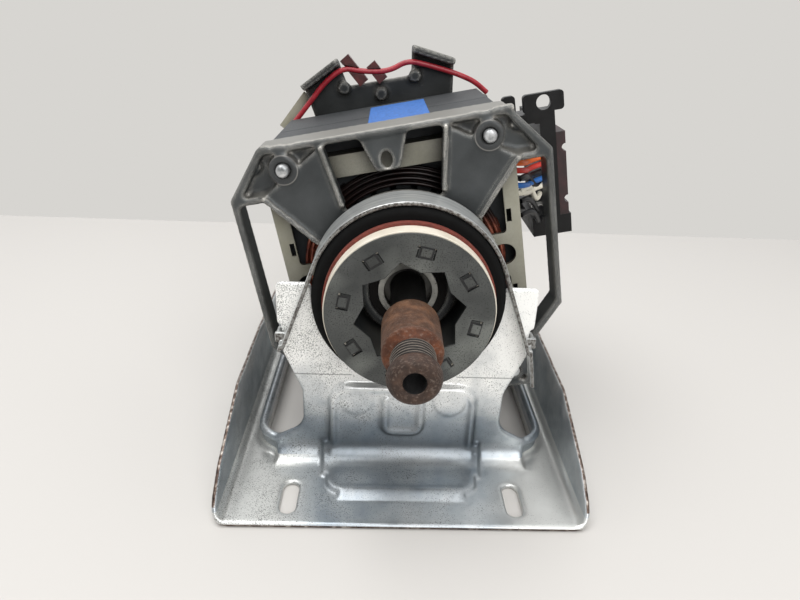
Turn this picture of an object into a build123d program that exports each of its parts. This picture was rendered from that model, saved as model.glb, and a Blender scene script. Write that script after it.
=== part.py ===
from build123d import *
import os
from math import cos, sin, tan, radians, degrees, atan2

os.makedirs("parts", exist_ok=True)

# Motor on a stamped base. The shaft lies along Y, its threaded nose towards -Y, and Z is up.
# The origin is on the underside of the base, below the shaft, midway between the front mounting slots.
# Places along the shaft are measured from the face of the front retainer disc.
# Lengths are in millimetres and angles in degrees.

# Driving sizes
shaft_height = 75.0
end_to_end = 154.0
middle = end_to_end / 2
motor_turn = 11.5
running_fit = 0.05
slip_gap = 0.2
cut_over = 6.0
pick = 0.01

# Base bracket
base_width = 135.0
base_front = 19.5
base_sheet = 2.0
base_corner = 5.0
flange_heights = (9.0, 15.0, 20.0, 28.0, 29.5)
flange_stations = (-13.5, -5.0, 8.0, 30.0)
flange_bend = 3.5
opening_width = 112.0
opening_corner = 14.0
lip_height = 11.0
lip_bend = 2.8
upright_front = 18.0
foot_half = 50.0
neck_half = 38.9
neck_low = 17.0
neck_high = 33.0
shoulder_half = 47.5
shoulder_low = 50.0
notch_half = 45.9
notch_top = 61.5
horn_top = 78.0
horn_round = 2.0
neck_round = 7.0
slot_spacing = 83.0
slot_width = 5.6
slot_length = 16.0
slot_inset = 5.6
emboss = 2.0
panel_half = 28.5
panel_top = 37.0
panel_round = 8.0
trough_front = -3.5
trough_round = 6.0
boss_half = 6.2
boss_low = 16.0
boss_high = 34.0
boss_round = 2.5
dimple_reach = 17.9
dimple_height = 30.6
dimple_radius = 6.0
dimple_rise = 0.8

# Resilient mounts
ring_outer = 34.0
ring_inner = 24.0
ring_front = 10.0
ring_width = 21.0
ring_round = 2.5
cradle_gap = 0.3
strap_thick = 1.4
strap_front = 11.0
strap_width = 15.0
leg_width = 6.0
strap_angle = 20.2
leg_reach = 32.0
hook_height = 4.0
hook_gap = 0.2
hook_reach = 3.5

# Parts on the nose of each end shield
disc_outer = 28.5
disc_thick = 1.0
star_tip = 19.0
star_valley = 15.6
star_points = 8
tab_place = 22.5
tab_length = 6.0
tab_width = 4.0
tab_sheet = 0.6
spacer_outer = 29.0
spacer_depth = 6.0
fibre_outer = 29.8
fibre_depth = 2.8
nose_inner = 20.0

# Bearings
journal = 6.35
bearing_outer = 14.0
bearing_front = 24.0
bearing_length = 11.0
felt_inner = 11.0
felt_front = 20.6
felt_depth = 3.0
slinger_outer = 10.8
slinger_inner = 8.7
slinger_front = 20.0
bearing_seat_front = 20.4
bearing_seat_wall = 3.5

# End shields
face_front = 33.0
plate_thick = 3.0
pad_front = 37.0
pad_thick = 3.0
shield_half_width = 44.0
front_rim_half = 56.0
rear_rim_half = 51.4
rim_wall = 2.5
bolt_x = 36.5
bolt_z = 47.5
bolt_radius = 2.4
bolt_clear = 0.2
nut_radius = 4.0
nut_thick = 3.5
bolt_boss = 5.2
bolt_boss_front = 32.4
pin_x = 46.8
pin_z = 48.6
pin_radius = 1.8
pin_rise = 1.8
bar_half = 58.0
bar_wall = 2.6
bar_depth = 11.0
bar_top = 39.5
bar_low = 21.0
diagonal_x = 44.0
diagonal_z = 38.0
hub_plate = 33.5
web_root_share = 0.82
web_inner_top = 22.0
web_inner_low_x = 18.4
web_inner_low_z = 31.0
web_outer_top_x = 46.0
web_outer_top_z = 39.0
web_outer_low_x = 29.6
web_outer_low_z = 18.6
rib_wall = 1.7
rib_rise = 1.5
rib_depth = 5.0
tab_top_half = 9.0
tab_low_half = 4.4
tab_drop = 12.5
tab_hole_half = 2.0
tab_hole_drop = 8.6
tab_plate = 2.0

# Stator
stack_front = 50.0
stack_half_width = 46.0
stack_half_height = 55.0
stack_chamfer = 4.0
stack_groove = 0.6
stack_groove_front = 71.0
stack_bore = 30.0
slot_count = 24
tooth_gap = 2.4
coil_inner = 32.0
coil_outer = 40.0
coil_half = 2.0

# Winding frames and end windings
frame_front = 40.4
frame_half_width = 46.0
frame_half_height = 48.0
frame_side = 36.0
frame_low_side = 24.0
frame_top = 28.0
frame_wall = 1.6
frame_bore = 30.6
window_inner = 31.5
window_outer = 40.2
window_long = 19.0
window_bar = 8.7
window_round = 1.5
eye_inner = 33.5
eye_outer = 43.0
eye_half = 4.3
peep_x = 41.6
peep_z = 15.5
peep_wide = 1.8
peep_long = 5.0
top_gap_half = 23.0
top_gap = 40.0
wire_radius = 0.65
wire_step = 1.95
wire_inner = 33.1
wire_turns = 3
wire_layers = 4
wire_seat = 0.4

# Shaft and rotor
nose_tip = 42.0
nose_tip_length = 4.0
nose_radius = 7.9
nose_chamfer = 0.8
centre_hole = 3.2
centre_depth = 9.0
thread_radius = 6.8
thread_rear = 27.5
relief_radius = 6.3
collar_front = 26.4
collar_rear = 4.4
collar_radius = 9.4
collar_round = 2.6
rear_stub = 18.0
stub_radius = 6.0
air_gap = 0.5
rotor_inset = 1.0
fan_ring_inner = 23.0
fan_ring_depth = 4.0
fan_blade_count = 12
fan_blade_thick = 2.0
fan_blade_depth = 3.6

# Governor, behind the rotor
carrier_thick = 2.0
carrier_radius = 18.5
weight_pivot = 14.0
ear_inner = 5.4
ear_thick = 1.5
ear_half = 1.9
pivot_pin = 1.0
weight_half = 5.0
weight_depth = 2.2
weight_inner = 12.4
weight_outer = 19.0
weight_under = 0.5
toe_reach = 4.4
toe_rise = 1.5
toe_radius = 0.8
toe_wall = 1.2
toe_half = 2.0
toe_gap = 0.5
sleeve_wall = 1.6
sleeve_length = 7.0
sleeve_flange = 1.3
sleeve_front_radius = 10.4
sleeve_rear_radius = 12.0
sleeve_travel = 2.0
sleeve_stop = 0.6

# Switch on the right side
switch_front = 62.0
column_inner = 60.0
column_outer = 66.0
column_low = -3.0
column_high = 44.5
column_length = 40.0
foot_inner = 54.5
foot_outer = 70.4
foot_high = 5.0
ear_plate = 2.6
ear_left = 54.2
ear_right = 69.8
ear_low = 47.2
ear_high = 54.4
ear_hole_x = 62.0
ear_hole_radius = 2.85
ear_corner = 1.4
neck_left = 58.0
neck_right = 66.0
arm_low = 43.6
arm_high = 47.2
arm_depth = 12.0
hook_high = 55.0
hook_width = 5.0
board_outer = 69.6
board_low = 5.0
board_high = 38.8
board_notch = 1.6
blade_thick = 0.8
blade_length = 5.0
blade_height = 4.0
lever_pivot_x = 52.0
lever_hub = 3.0
lever_pin = 1.4
lever_low = 4.0
lever_high = 8.0
lever_thick = 1.8
lever_back_gap = 0.7
lever_tip_x = 12.0
lever_pad = 2.0
lever_gap = 0.4
bracket_left = 49.4
bracket_right = 54.8
bracket_low = -1.6
bracket_high = 3.2
bracket_over = 2.6

# Wings, clips and lead at the top of the rear shield
wing_front = 110.0
wing_thick = 3.0
wing_low = 48.0
wing_low_x = 11.5
wing_inner_x = 16.8
wing_inner_top = 77.2
wing_outer_top_x = 34.4
wing_outer_top = 68.7
wing_outer_low_x = 31.0
wing_ledge = 6.0
wing_ledge_wall = 3.0
bridge_top = 64.6
stud_radius = 2.8
stud_rise = 3.0
stud_wing_x = 16.0
stud_wing_z = 64.3
stud_bridge_z = 59.2
lead_radius = 1.15
lead_gap = 0.35
clip_lean = 30.0
clip_width = 4.6
clip_depth = 3.9
clip_places = ((-10.2, 71.0, 13.6), (-0.4, 68.6, 8.8))
strip_thick = 1.0
strip_wide = 4.4
strip_low = (-48.0, 51.0)
strip_high = (-33.5, 63.8)
strip_rear = 114.4

# Blank tape on the stack
tape_left = -5.4
tape_right = 18.0
tape_length = 48.0
tape_thick = 0.2

# Signal leads between the windings and the switch
signal_colours = ("yellow", "orange", "red", "black", "blue", "white")
signal_top = 33.5
signal_step = 2.9
signal_drop = -3.2
signal_radius = 1.1
signal_radius_share = 0.45
lead_start_y = 45.6
lead_swing = 4.5

turn_x = cos(radians(motor_turn))
turn_z = sin(radians(motor_turn))
mid_plane = Plane.XZ.offset(-middle - slot_inset)
ground = Plane(origin=(0, slot_inset, 0))


def level(y):
    return Plane(origin=(0, y + slot_inset, shaft_height), x_dir=(1, 0, 0), z_dir=(0, -1, 0))


def turned(y):
    return Plane(origin=(0, y + slot_inset, shaft_height), x_dir=(turn_x, 0, turn_z), z_dir=(0, -1, 0))


def on_motor(x, y, z):
    return (x * turn_x - z * turn_z, y + slot_inset, shaft_height + x * turn_z + z * turn_x)


def wall_between(start, end, wall):
    run = Vector(*end) - Vector(*start)
    centre = (Vector(*start) + Vector(*end)) / 2
    with Locations((centre.X, centre.Y)):
        Rectangle(run.length, wall, rotation=degrees(atan2(run.Y, run.X)))


def save(piece, name):
    piece.part.label = name
    export_step(piece.part, f"parts/{name}.step")


def save_pair(piece, name):
    save(piece, "front_" + name)
    with BuildPart() as twin:
        mirror(piece.part, about=mid_plane)
    save(twin, "rear_" + name)


# Base bracket: one sheet, its middle opening lipped all round, a cradle standing at each end
opening_front = upright_front + base_sheet
opening_length = 2 * (middle - opening_front)
base_length = 2 * (middle + base_front)
floor = -shaft_height

with BuildPart() as base_bracket:
    # Pan with a bend along each side, trimmed to its plan and to the side view of its flanges
    pan_height = flange_heights[-1] + cut_over
    with BuildSketch(level(-base_front)) as pan_outside:
        with Locations((0, floor)):
            Rectangle(base_width, pan_height, align=(Align.CENTER, Align.MIN))
        fillet(pan_outside.vertices().group_by(Axis.Y)[0], radius=flange_bend + base_sheet)
    extrude(amount=-base_length)
    with BuildSketch(level(-base_front)) as pan_inside:
        with Locations((0, floor + base_sheet)):
            Rectangle(base_width - 2 * base_sheet, pan_height, align=(Align.CENTER, Align.MIN))
        fillet(pan_inside.vertices().group_by(Axis.Y)[0], radius=flange_bend)
    extrude(amount=-base_length, mode=Mode.SUBTRACT)
    with BuildSketch(ground):
        with Locations((0, middle)):
            RectangleRounded(base_width, base_length, base_corner)
    extrude(amount=pan_height, mode=Mode.INTERSECT)
    stations = flange_stations + (middle,)
    rise = [(-base_front, base_sheet)] + [(y, z) for y, z in zip(stations, flange_heights)]
    fall = [(2 * middle - y, z) for y, z in reversed(rise[:-1])]
    side_plane = Plane(origin=(0, slot_inset, 0), x_dir=(0, 1, 0), z_dir=(1, 0, 0))
    with BuildSketch(side_plane):
        with BuildLine():
            Polyline((-base_front, 0), *rise, *fall, (2 * middle + base_front, 0), close=True)
        make_face()
    extrude(amount=base_width, both=True, mode=Mode.INTERSECT)

    # Lip round the middle opening, with a bend at its foot
    with BuildSketch(ground):
        with Locations((0, middle)):
            RectangleRounded(opening_width + 2 * base_sheet, opening_length + 2 * base_sheet, opening_corner)
    extrude(amount=lip_height)
    plate_top = base_bracket.faces().filter_by(Axis.Z).group_by(Axis.Z)[1]
    fillet(plate_top[0].inner_wires()[0].edges(), radius=lip_bend)

    # Upright with its cradle, necked in beside the openings
    with BuildSketch(level(opening_front)) as upright:
        with BuildLine():
            Polyline(
                (0, floor),
                (foot_half, floor),
                (foot_half, floor + lip_height),
                (neck_half, floor + neck_low),
                (neck_half, floor + neck_high),
                (notch_half, floor + shoulder_low),
                (notch_half, floor + notch_top),
                (shoulder_half, floor + notch_top),
                (shoulder_half, floor + horn_top),
                (0, floor + horn_top),
                close=True,
            )
        make_face()
        mirror(about=Plane.YZ)
        Circle(ring_outer + cradle_gap, mode=Mode.SUBTRACT)
        corners = upright.vertices().filter_by_position(Axis.Y, floor + neck_low - pick, floor + shoulder_low + pick)
        fillet(corners, radius=neck_round)
        tips = upright.vertices().filter_by_position(Axis.Y, floor + horn_top - pick, floor + horn_top + pick)
        fillet(tips, radius=horn_round)
    extrude(amount=base_sheet)

    # Raised panel that runs from the plate over the bend and up the cradle
    with BuildSketch(ground) as trough:
        with Locations((0, trough_front)):
            Rectangle(2 * panel_half, upright_front - trough_front, align=(Align.CENTER, Align.MIN))
        fillet(trough.vertices().sort_by(Axis.Y)[:2], radius=trough_round)
    extrude(amount=base_sheet + emboss)
    with BuildSketch(level(upright_front)) as panel:
        with Locations((0, floor)):
            Rectangle(2 * panel_half, panel_top, align=(Align.CENTER, Align.MIN))
        fillet(panel.vertices().sort_by(Axis.Y)[-2:], radius=panel_round)
    extrude(amount=emboss)
    with BuildSketch(level(upright_front - emboss)) as panel_forms:
        with Locations((0, floor + boss_low)):
            Rectangle(2 * boss_half, boss_high - boss_low, align=(Align.CENTER, Align.MIN))
        fillet(panel_forms.vertices(), radius=boss_round)
        with Locations((-dimple_reach, floor + dimple_height), (dimple_reach, floor + dimple_height)):
            Circle(dimple_radius)
    extrude(amount=dimple_rise)

    # The back of the panel is hollow, as pressed sheet is
    with BuildSketch(ground) as trough_back:
        with Locations((0, trough_front + base_sheet)):
            Rectangle(
                2 * (panel_half - base_sheet),
                upright_front - trough_front - base_sheet + cut_over,
                align=(Align.CENTER, Align.MIN),
            )
    extrude(amount=emboss, mode=Mode.SUBTRACT)
    with BuildSketch(level(upright_front)) as panel_back:
        with Locations((0, floor)):
            Rectangle(2 * (panel_half - base_sheet), panel_top - base_sheet, align=(Align.CENTER, Align.MIN))
    extrude(amount=-(base_sheet + cut_over), mode=Mode.SUBTRACT)

    # The rear half repeats the front half
    split(bisect_by=mid_plane, keep=Keep.TOP)
    mirror(about=mid_plane)

    # Opening and mounting slots
    with BuildSketch(ground):
        with Locations((0, middle)):
            RectangleRounded(opening_width, opening_length, opening_corner - base_sheet)
    extrude(amount=lip_height + cut_over, mode=Mode.SUBTRACT)
    with BuildSketch(ground):
        with Locations((0, middle)):
            with GridLocations(slot_spacing, 2 * (middle + slot_inset), 2, 2):
                SlotOverall(slot_length, slot_width, rotation=90)
    extrude(amount=base_sheet + cut_over, mode=Mode.SUBTRACT)
save(base_bracket, "base_bracket")
print("base", base_bracket.part.volume, len(base_bracket.solids()))

# Rubber mount rings
with BuildPart() as mount_ring:
    with BuildSketch(level(ring_front + ring_width)):
        Circle(ring_outer)
        Circle(ring_inner, mode=Mode.SUBTRACT)
    extrude(amount=ring_width)
    fillet(mount_ring.edges().filter_by(GeomType.CIRCLE).group_by(SortBy.RADIUS)[-1], radius=ring_round)
save_pair(mount_ring, "mount_ring")

# Spring clamps: a broad band over the ring, narrowed to legs that hook round the cradle's shoulders
strap_inner = ring_outer + slip_gap
strap_middle = strap_inner + strap_thick / 2
tangent_x = strap_middle * cos(radians(strap_angle))
tangent_z = strap_middle * sin(radians(strap_angle))
leg_slope = sin(radians(strap_angle)) / cos(radians(strap_angle))
leg_x = tangent_x + leg_slope * leg_reach
leg_z = tangent_z - leg_reach
with BuildPart() as mount_clamp:
    with BuildSketch(level(strap_front + strap_width)) as strap_outline:
        with BuildLine() as strap_line:
            strap_arc = CenterArc((0, 0), strap_middle, strap_angle, 180 - 2 * strap_angle)
            right_leg = Line(strap_arc @ 0, (leg_x, leg_z))
            left_leg = Line(strap_arc @ 1, (-leg_x, leg_z))
            offset(amount=strap_thick / 2, side=Side.BOTH)
        make_face()
    extrude(amount=strap_width)
    with BuildSketch(level(strap_front + strap_width)):
        with Locations((0, tangent_z)):
            Rectangle(4 * strap_middle, 4 * strap_middle, align=(Align.CENTER, Align.MAX))
    extrude(amount=strap_width - leg_width, mode=Mode.SUBTRACT)
    hook_x = notch_half + slip_gap + strap_thick / 2
    hook_z = leg_z + hook_height / 2
    hook_rear = opening_front + hook_gap + strap_thick
    with BuildSketch(level(strap_front + leg_width)):
        with Locations((-hook_x + strap_thick / 2, hook_z), (hook_x - strap_thick / 2, hook_z)):
            Rectangle(hook_x - leg_x + strap_thick, hook_height)
    extrude(amount=strap_thick)
    with BuildSketch(level(hook_rear)):
        with Locations((-hook_x, hook_z), (hook_x, hook_z)):
            Rectangle(strap_thick, hook_height)
    extrude(amount=hook_rear - strap_front - leg_width + strap_thick)
    with BuildSketch(level(hook_rear)):
        with Locations((strap_thick / 2 + hook_reach / 2 - hook_x, hook_z), (hook_x - strap_thick / 2 - hook_reach / 2, hook_z)):
            Rectangle(hook_reach, hook_height)
    extrude(amount=strap_thick)
save_pair(mount_clamp, "mount_clamp")

# Front retainer discs: a star-shaped hole and bent tabs in a ring of slots
star_step = 180 / star_points
with BuildPart() as retainer_disc:
    with BuildSketch(turned(disc_thick)) as disc_face:
        Circle(disc_outer)
        with BuildLine():
            star = []
            for corner in range(2 * star_points):
                reach = star_valley if corner % 2 else star_tip
                star.append((reach * cos(radians(corner * star_step)), reach * sin(radians(corner * star_step))))
            Polyline(*star, close=True)
        make_face(mode=Mode.SUBTRACT)
        with PolarLocations(tab_place, star_points, start_angle=star_step):
            Rectangle(tab_width, tab_length, mode=Mode.SUBTRACT)
    extrude(amount=disc_thick)
    with BuildSketch(turned(disc_thick)):
        with PolarLocations(tab_place - 2 * slip_gap, star_points, start_angle=star_step):
            Rectangle(tab_width - 4 * slip_gap, tab_length - 4 * slip_gap)
    extrude(amount=tab_sheet)
save_pair(retainer_disc, "retainer_disc")

# Spacer and fibre rings between the disc and the rubber ring
spacer_rear = disc_thick + spacer_depth
with BuildPart() as spacer_ring:
    with BuildSketch(level(spacer_rear)):
        Circle(spacer_outer)
        Circle(ring_inner, mode=Mode.SUBTRACT)
    extrude(amount=spacer_depth)
    chamfer(spacer_ring.edges().filter_by(GeomType.CIRCLE).group_by(SortBy.RADIUS)[-1], length=slip_gap)
save_pair(spacer_ring, "spacer_ring")

with BuildPart() as fibre_ring:
    with BuildSketch(level(spacer_rear + fibre_depth)):
        Circle(fibre_outer)
        Circle(ring_inner, mode=Mode.SUBTRACT)
    extrude(amount=fibre_depth)
save_pair(fibre_ring, "fibre_ring")

# Bearings with their felts and slinger rings
with BuildPart() as bearing:
    with BuildSketch(level(bearing_front + bearing_length)):
        Circle(bearing_outer)
        Circle(journal + running_fit, mode=Mode.SUBTRACT)
    extrude(amount=bearing_length)
save_pair(bearing, "bearing")

with BuildPart() as felt_ring:
    with BuildSketch(level(felt_front + felt_depth)):
        Circle(bearing_outer)
        Circle(felt_inner, mode=Mode.SUBTRACT)
    extrude(amount=felt_depth)
save_pair(felt_ring, "felt_ring")

with BuildPart() as slinger_ring:
    with BuildSketch(level(bearing_front)):
        Circle(slinger_outer)
        Circle(slinger_inner, mode=Mode.SUBTRACT)
    extrude(amount=bearing_front - slinger_front)
save_pair(slinger_ring, "slinger_ring")


# End shields: hub, four webs with raised edges, recessed corner pads, rim and side bars
def end_shield(rim_half, has_tab):
    with BuildPart() as shield:
        with BuildSketch(turned(face_front + plate_thick)) as web_face:
            Circle(hub_plate)
            with BuildLine():
                Polyline(
                    (web_root_share * web_inner_low_x, web_root_share * web_inner_low_z),
                    (web_inner_low_x, web_inner_low_z),
                    (web_inner_top, rim_half - rim_wall),
                    (web_outer_top_x, web_outer_top_z),
                    (web_outer_low_x, web_outer_low_z),
                    (web_root_share * web_outer_low_x, web_root_share * web_outer_low_z),
                    close=True,
                )
            make_face()
            mirror(about=Plane.YZ)
            mirror(about=Plane.XZ)
        extrude(amount=plate_thick)

        # Raised ribs that deepen both edges of each web
        with BuildSketch(turned(face_front + rib_depth)):
            wall_between((web_inner_low_x, web_inner_low_z), (web_inner_top, rim_half - rim_wall), rib_wall)
            wall_between((web_outer_low_x, web_outer_low_z), (web_outer_top_x, web_outer_top_z), rib_wall)
            mirror(about=Plane.YZ)
            mirror(about=Plane.XZ)
        extrude(amount=rib_depth + rib_rise)

        # Corner pads
        with BuildSketch(turned(pad_front + pad_thick)):
            with BuildLine():
                Polyline(
                    (web_inner_top, rim_half),
                    (shield_half_width, rim_half),
                    (bar_half, bar_top),
                    (web_outer_top_x, bar_top - bar_wall),
                    (web_outer_low_x, web_inner_low_z),
                    close=True,
                )
            make_face()
            with BuildLine():
                Polyline(
                    (web_inner_top, -rim_half),
                    (shield_half_width, -rim_half),
                    (diagonal_x, -diagonal_z),
                    (web_outer_low_x, -web_inner_low_z),
                    close=True,
                )
            make_face()
            mirror(about=Plane.YZ)
        extrude(amount=pad_thick)
        with BuildSketch(turned(pad_front)):
            with Locations((pin_x, pin_z), (-pin_x, pin_z)):
                Circle(pin_radius)
        extrude(amount=pin_rise)
        with BuildSketch(turned(pad_front)):
            with GridLocations(2 * bolt_x, 2 * bolt_z, 2, 2):
                Circle(bolt_boss)
        extrude(amount=pad_front - bolt_boss_front)

        # Rim back to the stack, along the top, the bottom and the cut corners
        with BuildSketch(turned(stack_front)) as rim_face:
            with BuildLine():
                rim_line = Polyline((0, rim_half), (shield_half_width, rim_half), (bar_half, bar_top))
                Polyline(
                    rim_line @ 1,
                    (bar_half - rim_wall, bar_top - rim_wall),
                    (shield_half_width - rim_wall / 2, rim_half - rim_wall),
                    (0, rim_half - rim_wall),
                    rim_line @ 0,
                )
            make_face()
            with Locations((0, -rim_half)):
                Rectangle(shield_half_width, rim_wall, align=(Align.MIN, Align.MIN))
            with Locations((diagonal_x, -rim_half)):
                Rectangle(rim_wall, rim_half - diagonal_z, align=(Align.MAX, Align.MIN))
            mirror(about=Plane.YZ)
        extrude(amount=stack_front - face_front)

        # Side bars with the ledge above and the slanted foot below
        with BuildSketch(turned(face_front + bar_depth)) as bar_face:
            with BuildLine():
                Polyline(
                    (web_outer_top_x, bar_top),
                    (bar_half, bar_top),
                    (bar_half, -bar_low),
                    (diagonal_x, -diagonal_z),
                    (diagonal_x, -diagonal_z - bar_wall),
                    (diagonal_x - bar_wall, -diagonal_z - bar_wall),
                    (diagonal_x - bar_wall, -diagonal_z + bar_wall / 2),
                    (bar_half - bar_wall, -bar_low + bar_wall / 2),
                    (bar_half - bar_wall, bar_top - bar_wall),
                    (web_outer_top_x, bar_top - bar_wall),
                    close=True,
                )
            make_face()
            mirror(about=Plane.YZ)
        extrude(amount=bar_depth)

        # Hub that carries the rings in front and the bearing inside
        hub_rear = bearing_front + bearing_length
        with BuildSketch(turned(hub_rear)):
            Circle(bearing_outer + bearing_seat_wall)
        extrude(amount=hub_rear - bearing_seat_front)
        with BuildSketch(turned(face_front + plate_thick)):
            Circle(ring_inner)
            Circle(nose_inner, mode=Mode.SUBTRACT)
        extrude(amount=face_front + plate_thick - disc_thick)
        with BuildSketch(turned(face_front + plate_thick)):
            Circle(ring_inner)
        extrude(amount=plate_thick + rib_depth)
        with BuildSketch(turned(hub_rear + cut_over)):
            Circle(bearing_outer)
        extrude(amount=hub_rear + 2 * cut_over, mode=Mode.SUBTRACT)
        with BuildSketch(turned(bearing_seat_front)):
            Circle(nose_inner)
        extrude(amount=cut_over + bearing_seat_front, mode=Mode.SUBTRACT)

        # Bolt holes, and the hanging tab with its hole in the top window
        with BuildSketch(turned(stack_front)):
            with GridLocations(2 * bolt_x, 2 * bolt_z, 2, 2):
                Circle(bolt_radius + bolt_clear)
        extrude(amount=stack_front, mode=Mode.SUBTRACT)
        if has_tab:
            with BuildSketch(turned(face_front + plate_thick)) as tab_face:
                with BuildLine():
                    Polyline(
                        (-tab_top_half, rim_half - rim_wall / 2),
                        (tab_top_half, rim_half - rim_wall / 2),
                        (tab_low_half, rim_half - rim_wall - tab_drop),
                        (-tab_low_half, rim_half - rim_wall - tab_drop),
                        close=True,
                    )
                make_face()
                fillet(tab_face.vertices().sort_by(Axis.Y)[:2], radius=tab_hole_half)
                with Locations((0, rim_half - rim_wall - tab_hole_drop)):
                    Ellipse(tab_hole_half, tab_hole_half + tab_plate / 2, mode=Mode.SUBTRACT)
            extrude(amount=tab_plate)
    return shield


front_end_shield = end_shield(front_rim_half, True)
save(front_end_shield, "front_end_shield")
print("shield", front_end_shield.part.volume, len(front_end_shield.solids()))


# Rear end shield: a lower rim, and above it two raised wings joined by a bridge
rear_base = end_shield(rear_rim_half, False)
wing_rear = wing_front + wing_thick
with BuildPart() as rear_end_shield:
    mirror(rear_base.part, about=mid_plane)
    with BuildSketch(turned(wing_rear)) as wing_face:
        with BuildLine():
            Polyline(
                (wing_low_x, wing_low),
                (wing_inner_x, wing_inner_top),
                (wing_outer_top_x, wing_outer_top),
                (wing_outer_low_x, wing_low),
                close=True,
            )
        make_face()
        mirror(about=Plane.YZ)
        with Locations((0, wing_low)):
            Rectangle(2 * wing_inner_x, bridge_top - wing_low, align=(Align.CENTER, Align.MIN))
    extrude(amount=wing_thick)
    with BuildSketch(turned(wing_rear)):
        wall_between((wing_inner_x, wing_inner_top - wing_ledge_wall / 2),
                     (wing_outer_top_x, wing_outer_top - wing_ledge_wall / 2), wing_ledge_wall)
        mirror(about=Plane.YZ)
    extrude(amount=wing_ledge + wing_thick)
    with BuildSketch(turned(wing_front)):
        with Locations((stud_wing_x, stud_wing_z), (-stud_wing_x, stud_wing_z), (0, stud_bridge_z)):
            Circle(stud_radius)
    extrude(amount=stud_rise)
save(rear_end_shield, "rear_end_shield")

# Stator core: a chamfered stack with winding slots round its bore, and bolt holes at its corners
stack_rear = end_to_end - stack_front
with BuildPart() as stator_core:
    with BuildSketch(turned(stack_rear)) as stack_face:
        Rectangle(2 * stack_half_width, 2 * stack_half_height)
        chamfer(stack_face.vertices(), length=stack_chamfer)
        Circle(stack_bore, mode=Mode.SUBTRACT)
        with GridLocations(2 * bolt_x, 2 * bolt_z, 2, 2):
            Circle(bolt_radius + bolt_clear, mode=Mode.SUBTRACT)
        with PolarLocations((stack_bore + coil_outer) / 2, slot_count):
            Rectangle(coil_outer - stack_bore + slip_gap, tooth_gap, mode=Mode.SUBTRACT)
        with PolarLocations((coil_inner + coil_outer) / 2, slot_count):
            Rectangle(coil_outer - coil_inner + slip_gap, 2 * coil_half + slip_gap, mode=Mode.SUBTRACT)
    extrude(amount=stack_rear - stack_front)
    with BuildSketch(turned(stack_groove_front + stack_groove)) as groove_face:
        Rectangle(2 * stack_half_width + cut_over, 2 * stack_half_height + cut_over)
        Rectangle(2 * stack_half_width - 2 * stack_groove, 2 * stack_half_height - 2 * stack_groove, mode=Mode.SUBTRACT)
    extrude(amount=stack_groove, mode=Mode.SUBTRACT)
save(stator_core, "stator_core")

with BuildPart() as coil_sides:
    with BuildSketch(turned(stack_rear)):
        with PolarLocations((coil_inner + coil_outer) / 2, slot_count):
            Rectangle(coil_outer - coil_inner, 2 * coil_half)
    extrude(amount=stack_rear - stack_front)
save(coil_sides, "coil_sides")

# Winding frames: hollow moulded boxes with a round bore and arched windows beside the hub
frame_depth = stack_front - frame_front
window_x = (window_inner + window_outer) / 2
window_wide = window_outer - window_inner
with BuildPart() as winding_frame:
    with BuildSketch(turned(stack_front)) as frame_outline:
        with BuildLine():
            Polyline(
                (0, frame_half_height),
                (frame_top, frame_half_height),
                (frame_half_width, frame_side),
                (frame_half_width, -frame_low_side),
                (frame_top, -frame_half_height),
                (0, -frame_half_height),
                close=True,
            )
        make_face()
        mirror(about=Plane.YZ)
    extrude(amount=frame_depth)
    with BuildSketch(turned(stack_front)):
        offset(frame_outline.sketch_local, amount=-frame_wall)
        Circle(frame_bore + frame_wall, mode=Mode.SUBTRACT)
    extrude(amount=frame_depth - frame_wall, mode=Mode.SUBTRACT)
    with BuildSketch(turned(stack_front)):
        Circle(frame_bore)
    extrude(amount=frame_depth + cut_over, mode=Mode.SUBTRACT)
    with BuildSketch(turned(frame_front + frame_wall)):
        window_centre = window_bar + window_long / 2
        with GridLocations(2 * window_x, 2 * window_centre, 2, 2):
            RectangleRounded(window_wide, window_long, window_round)
        with Locations((eye_inner / 2 + eye_outer / 2, 0), (-eye_inner / 2 - eye_outer / 2, 0)):
            SlotOverall(eye_outer - eye_inner, 2 * eye_half)
        with GridLocations(2 * peep_x, 2 * peep_z, 2, 2):
            Rectangle(peep_wide, peep_long)
        Circle(frame_bore + frame_wall, mode=Mode.SUBTRACT)
    extrude(amount=frame_wall + cut_over, mode=Mode.SUBTRACT)
    with BuildSketch(turned(stack_front)):
        Rectangle(2 * top_gap_half, top_gap, align=(Align.CENTER, Align.MIN))
    extrude(amount=frame_depth + cut_over, mode=Mode.SUBTRACT)
save_pair(winding_frame, "winding_frame")


# End windings: one unbroken wire that spirals out and in again, climbing a layer at each turn back
def winding_path():
    first = stack_front - wire_seat - wire_radius
    spots = []
    half_turns = 2 * wire_turns
    for layer in range(wire_layers):
        for half in range(half_turns + 1):
            step = half if layer % 2 == 0 else half_turns - half
            spots.append((wire_inner + step * wire_step / 2, first - layer * wire_step))
    return spots


def spot_place(index, reach, depth):
    side = 1 if index % 2 == 0 else -1
    return Vector(*on_motor(side * reach, depth, 0))


with BuildPart() as end_winding:
    spots = winding_path()
    with BuildLine() as wire_line:
        for index in range(len(spots) - 1):
            reach, depth = spots[index]
            next_reach, next_depth = spots[index + 1]
            rise = 1 if index % 2 == 0 else -1
            shift = (reach - next_reach) / 2 * rise
            crown = Vector(*on_motor(shift, (depth + next_depth) / 2, rise * (reach + next_reach) / 2))
            ThreePointArc(spot_place(index, reach, depth), crown, spot_place(index + 1, next_reach, next_depth))
    with BuildSketch(Plane(origin=wire_line.wires()[0] @ 0, z_dir=wire_line.wires()[0] % 0)):
        Circle(wire_radius)
    sweep(path=wire_line.wires()[0])
save_pair(end_winding, "end_winding")


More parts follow.
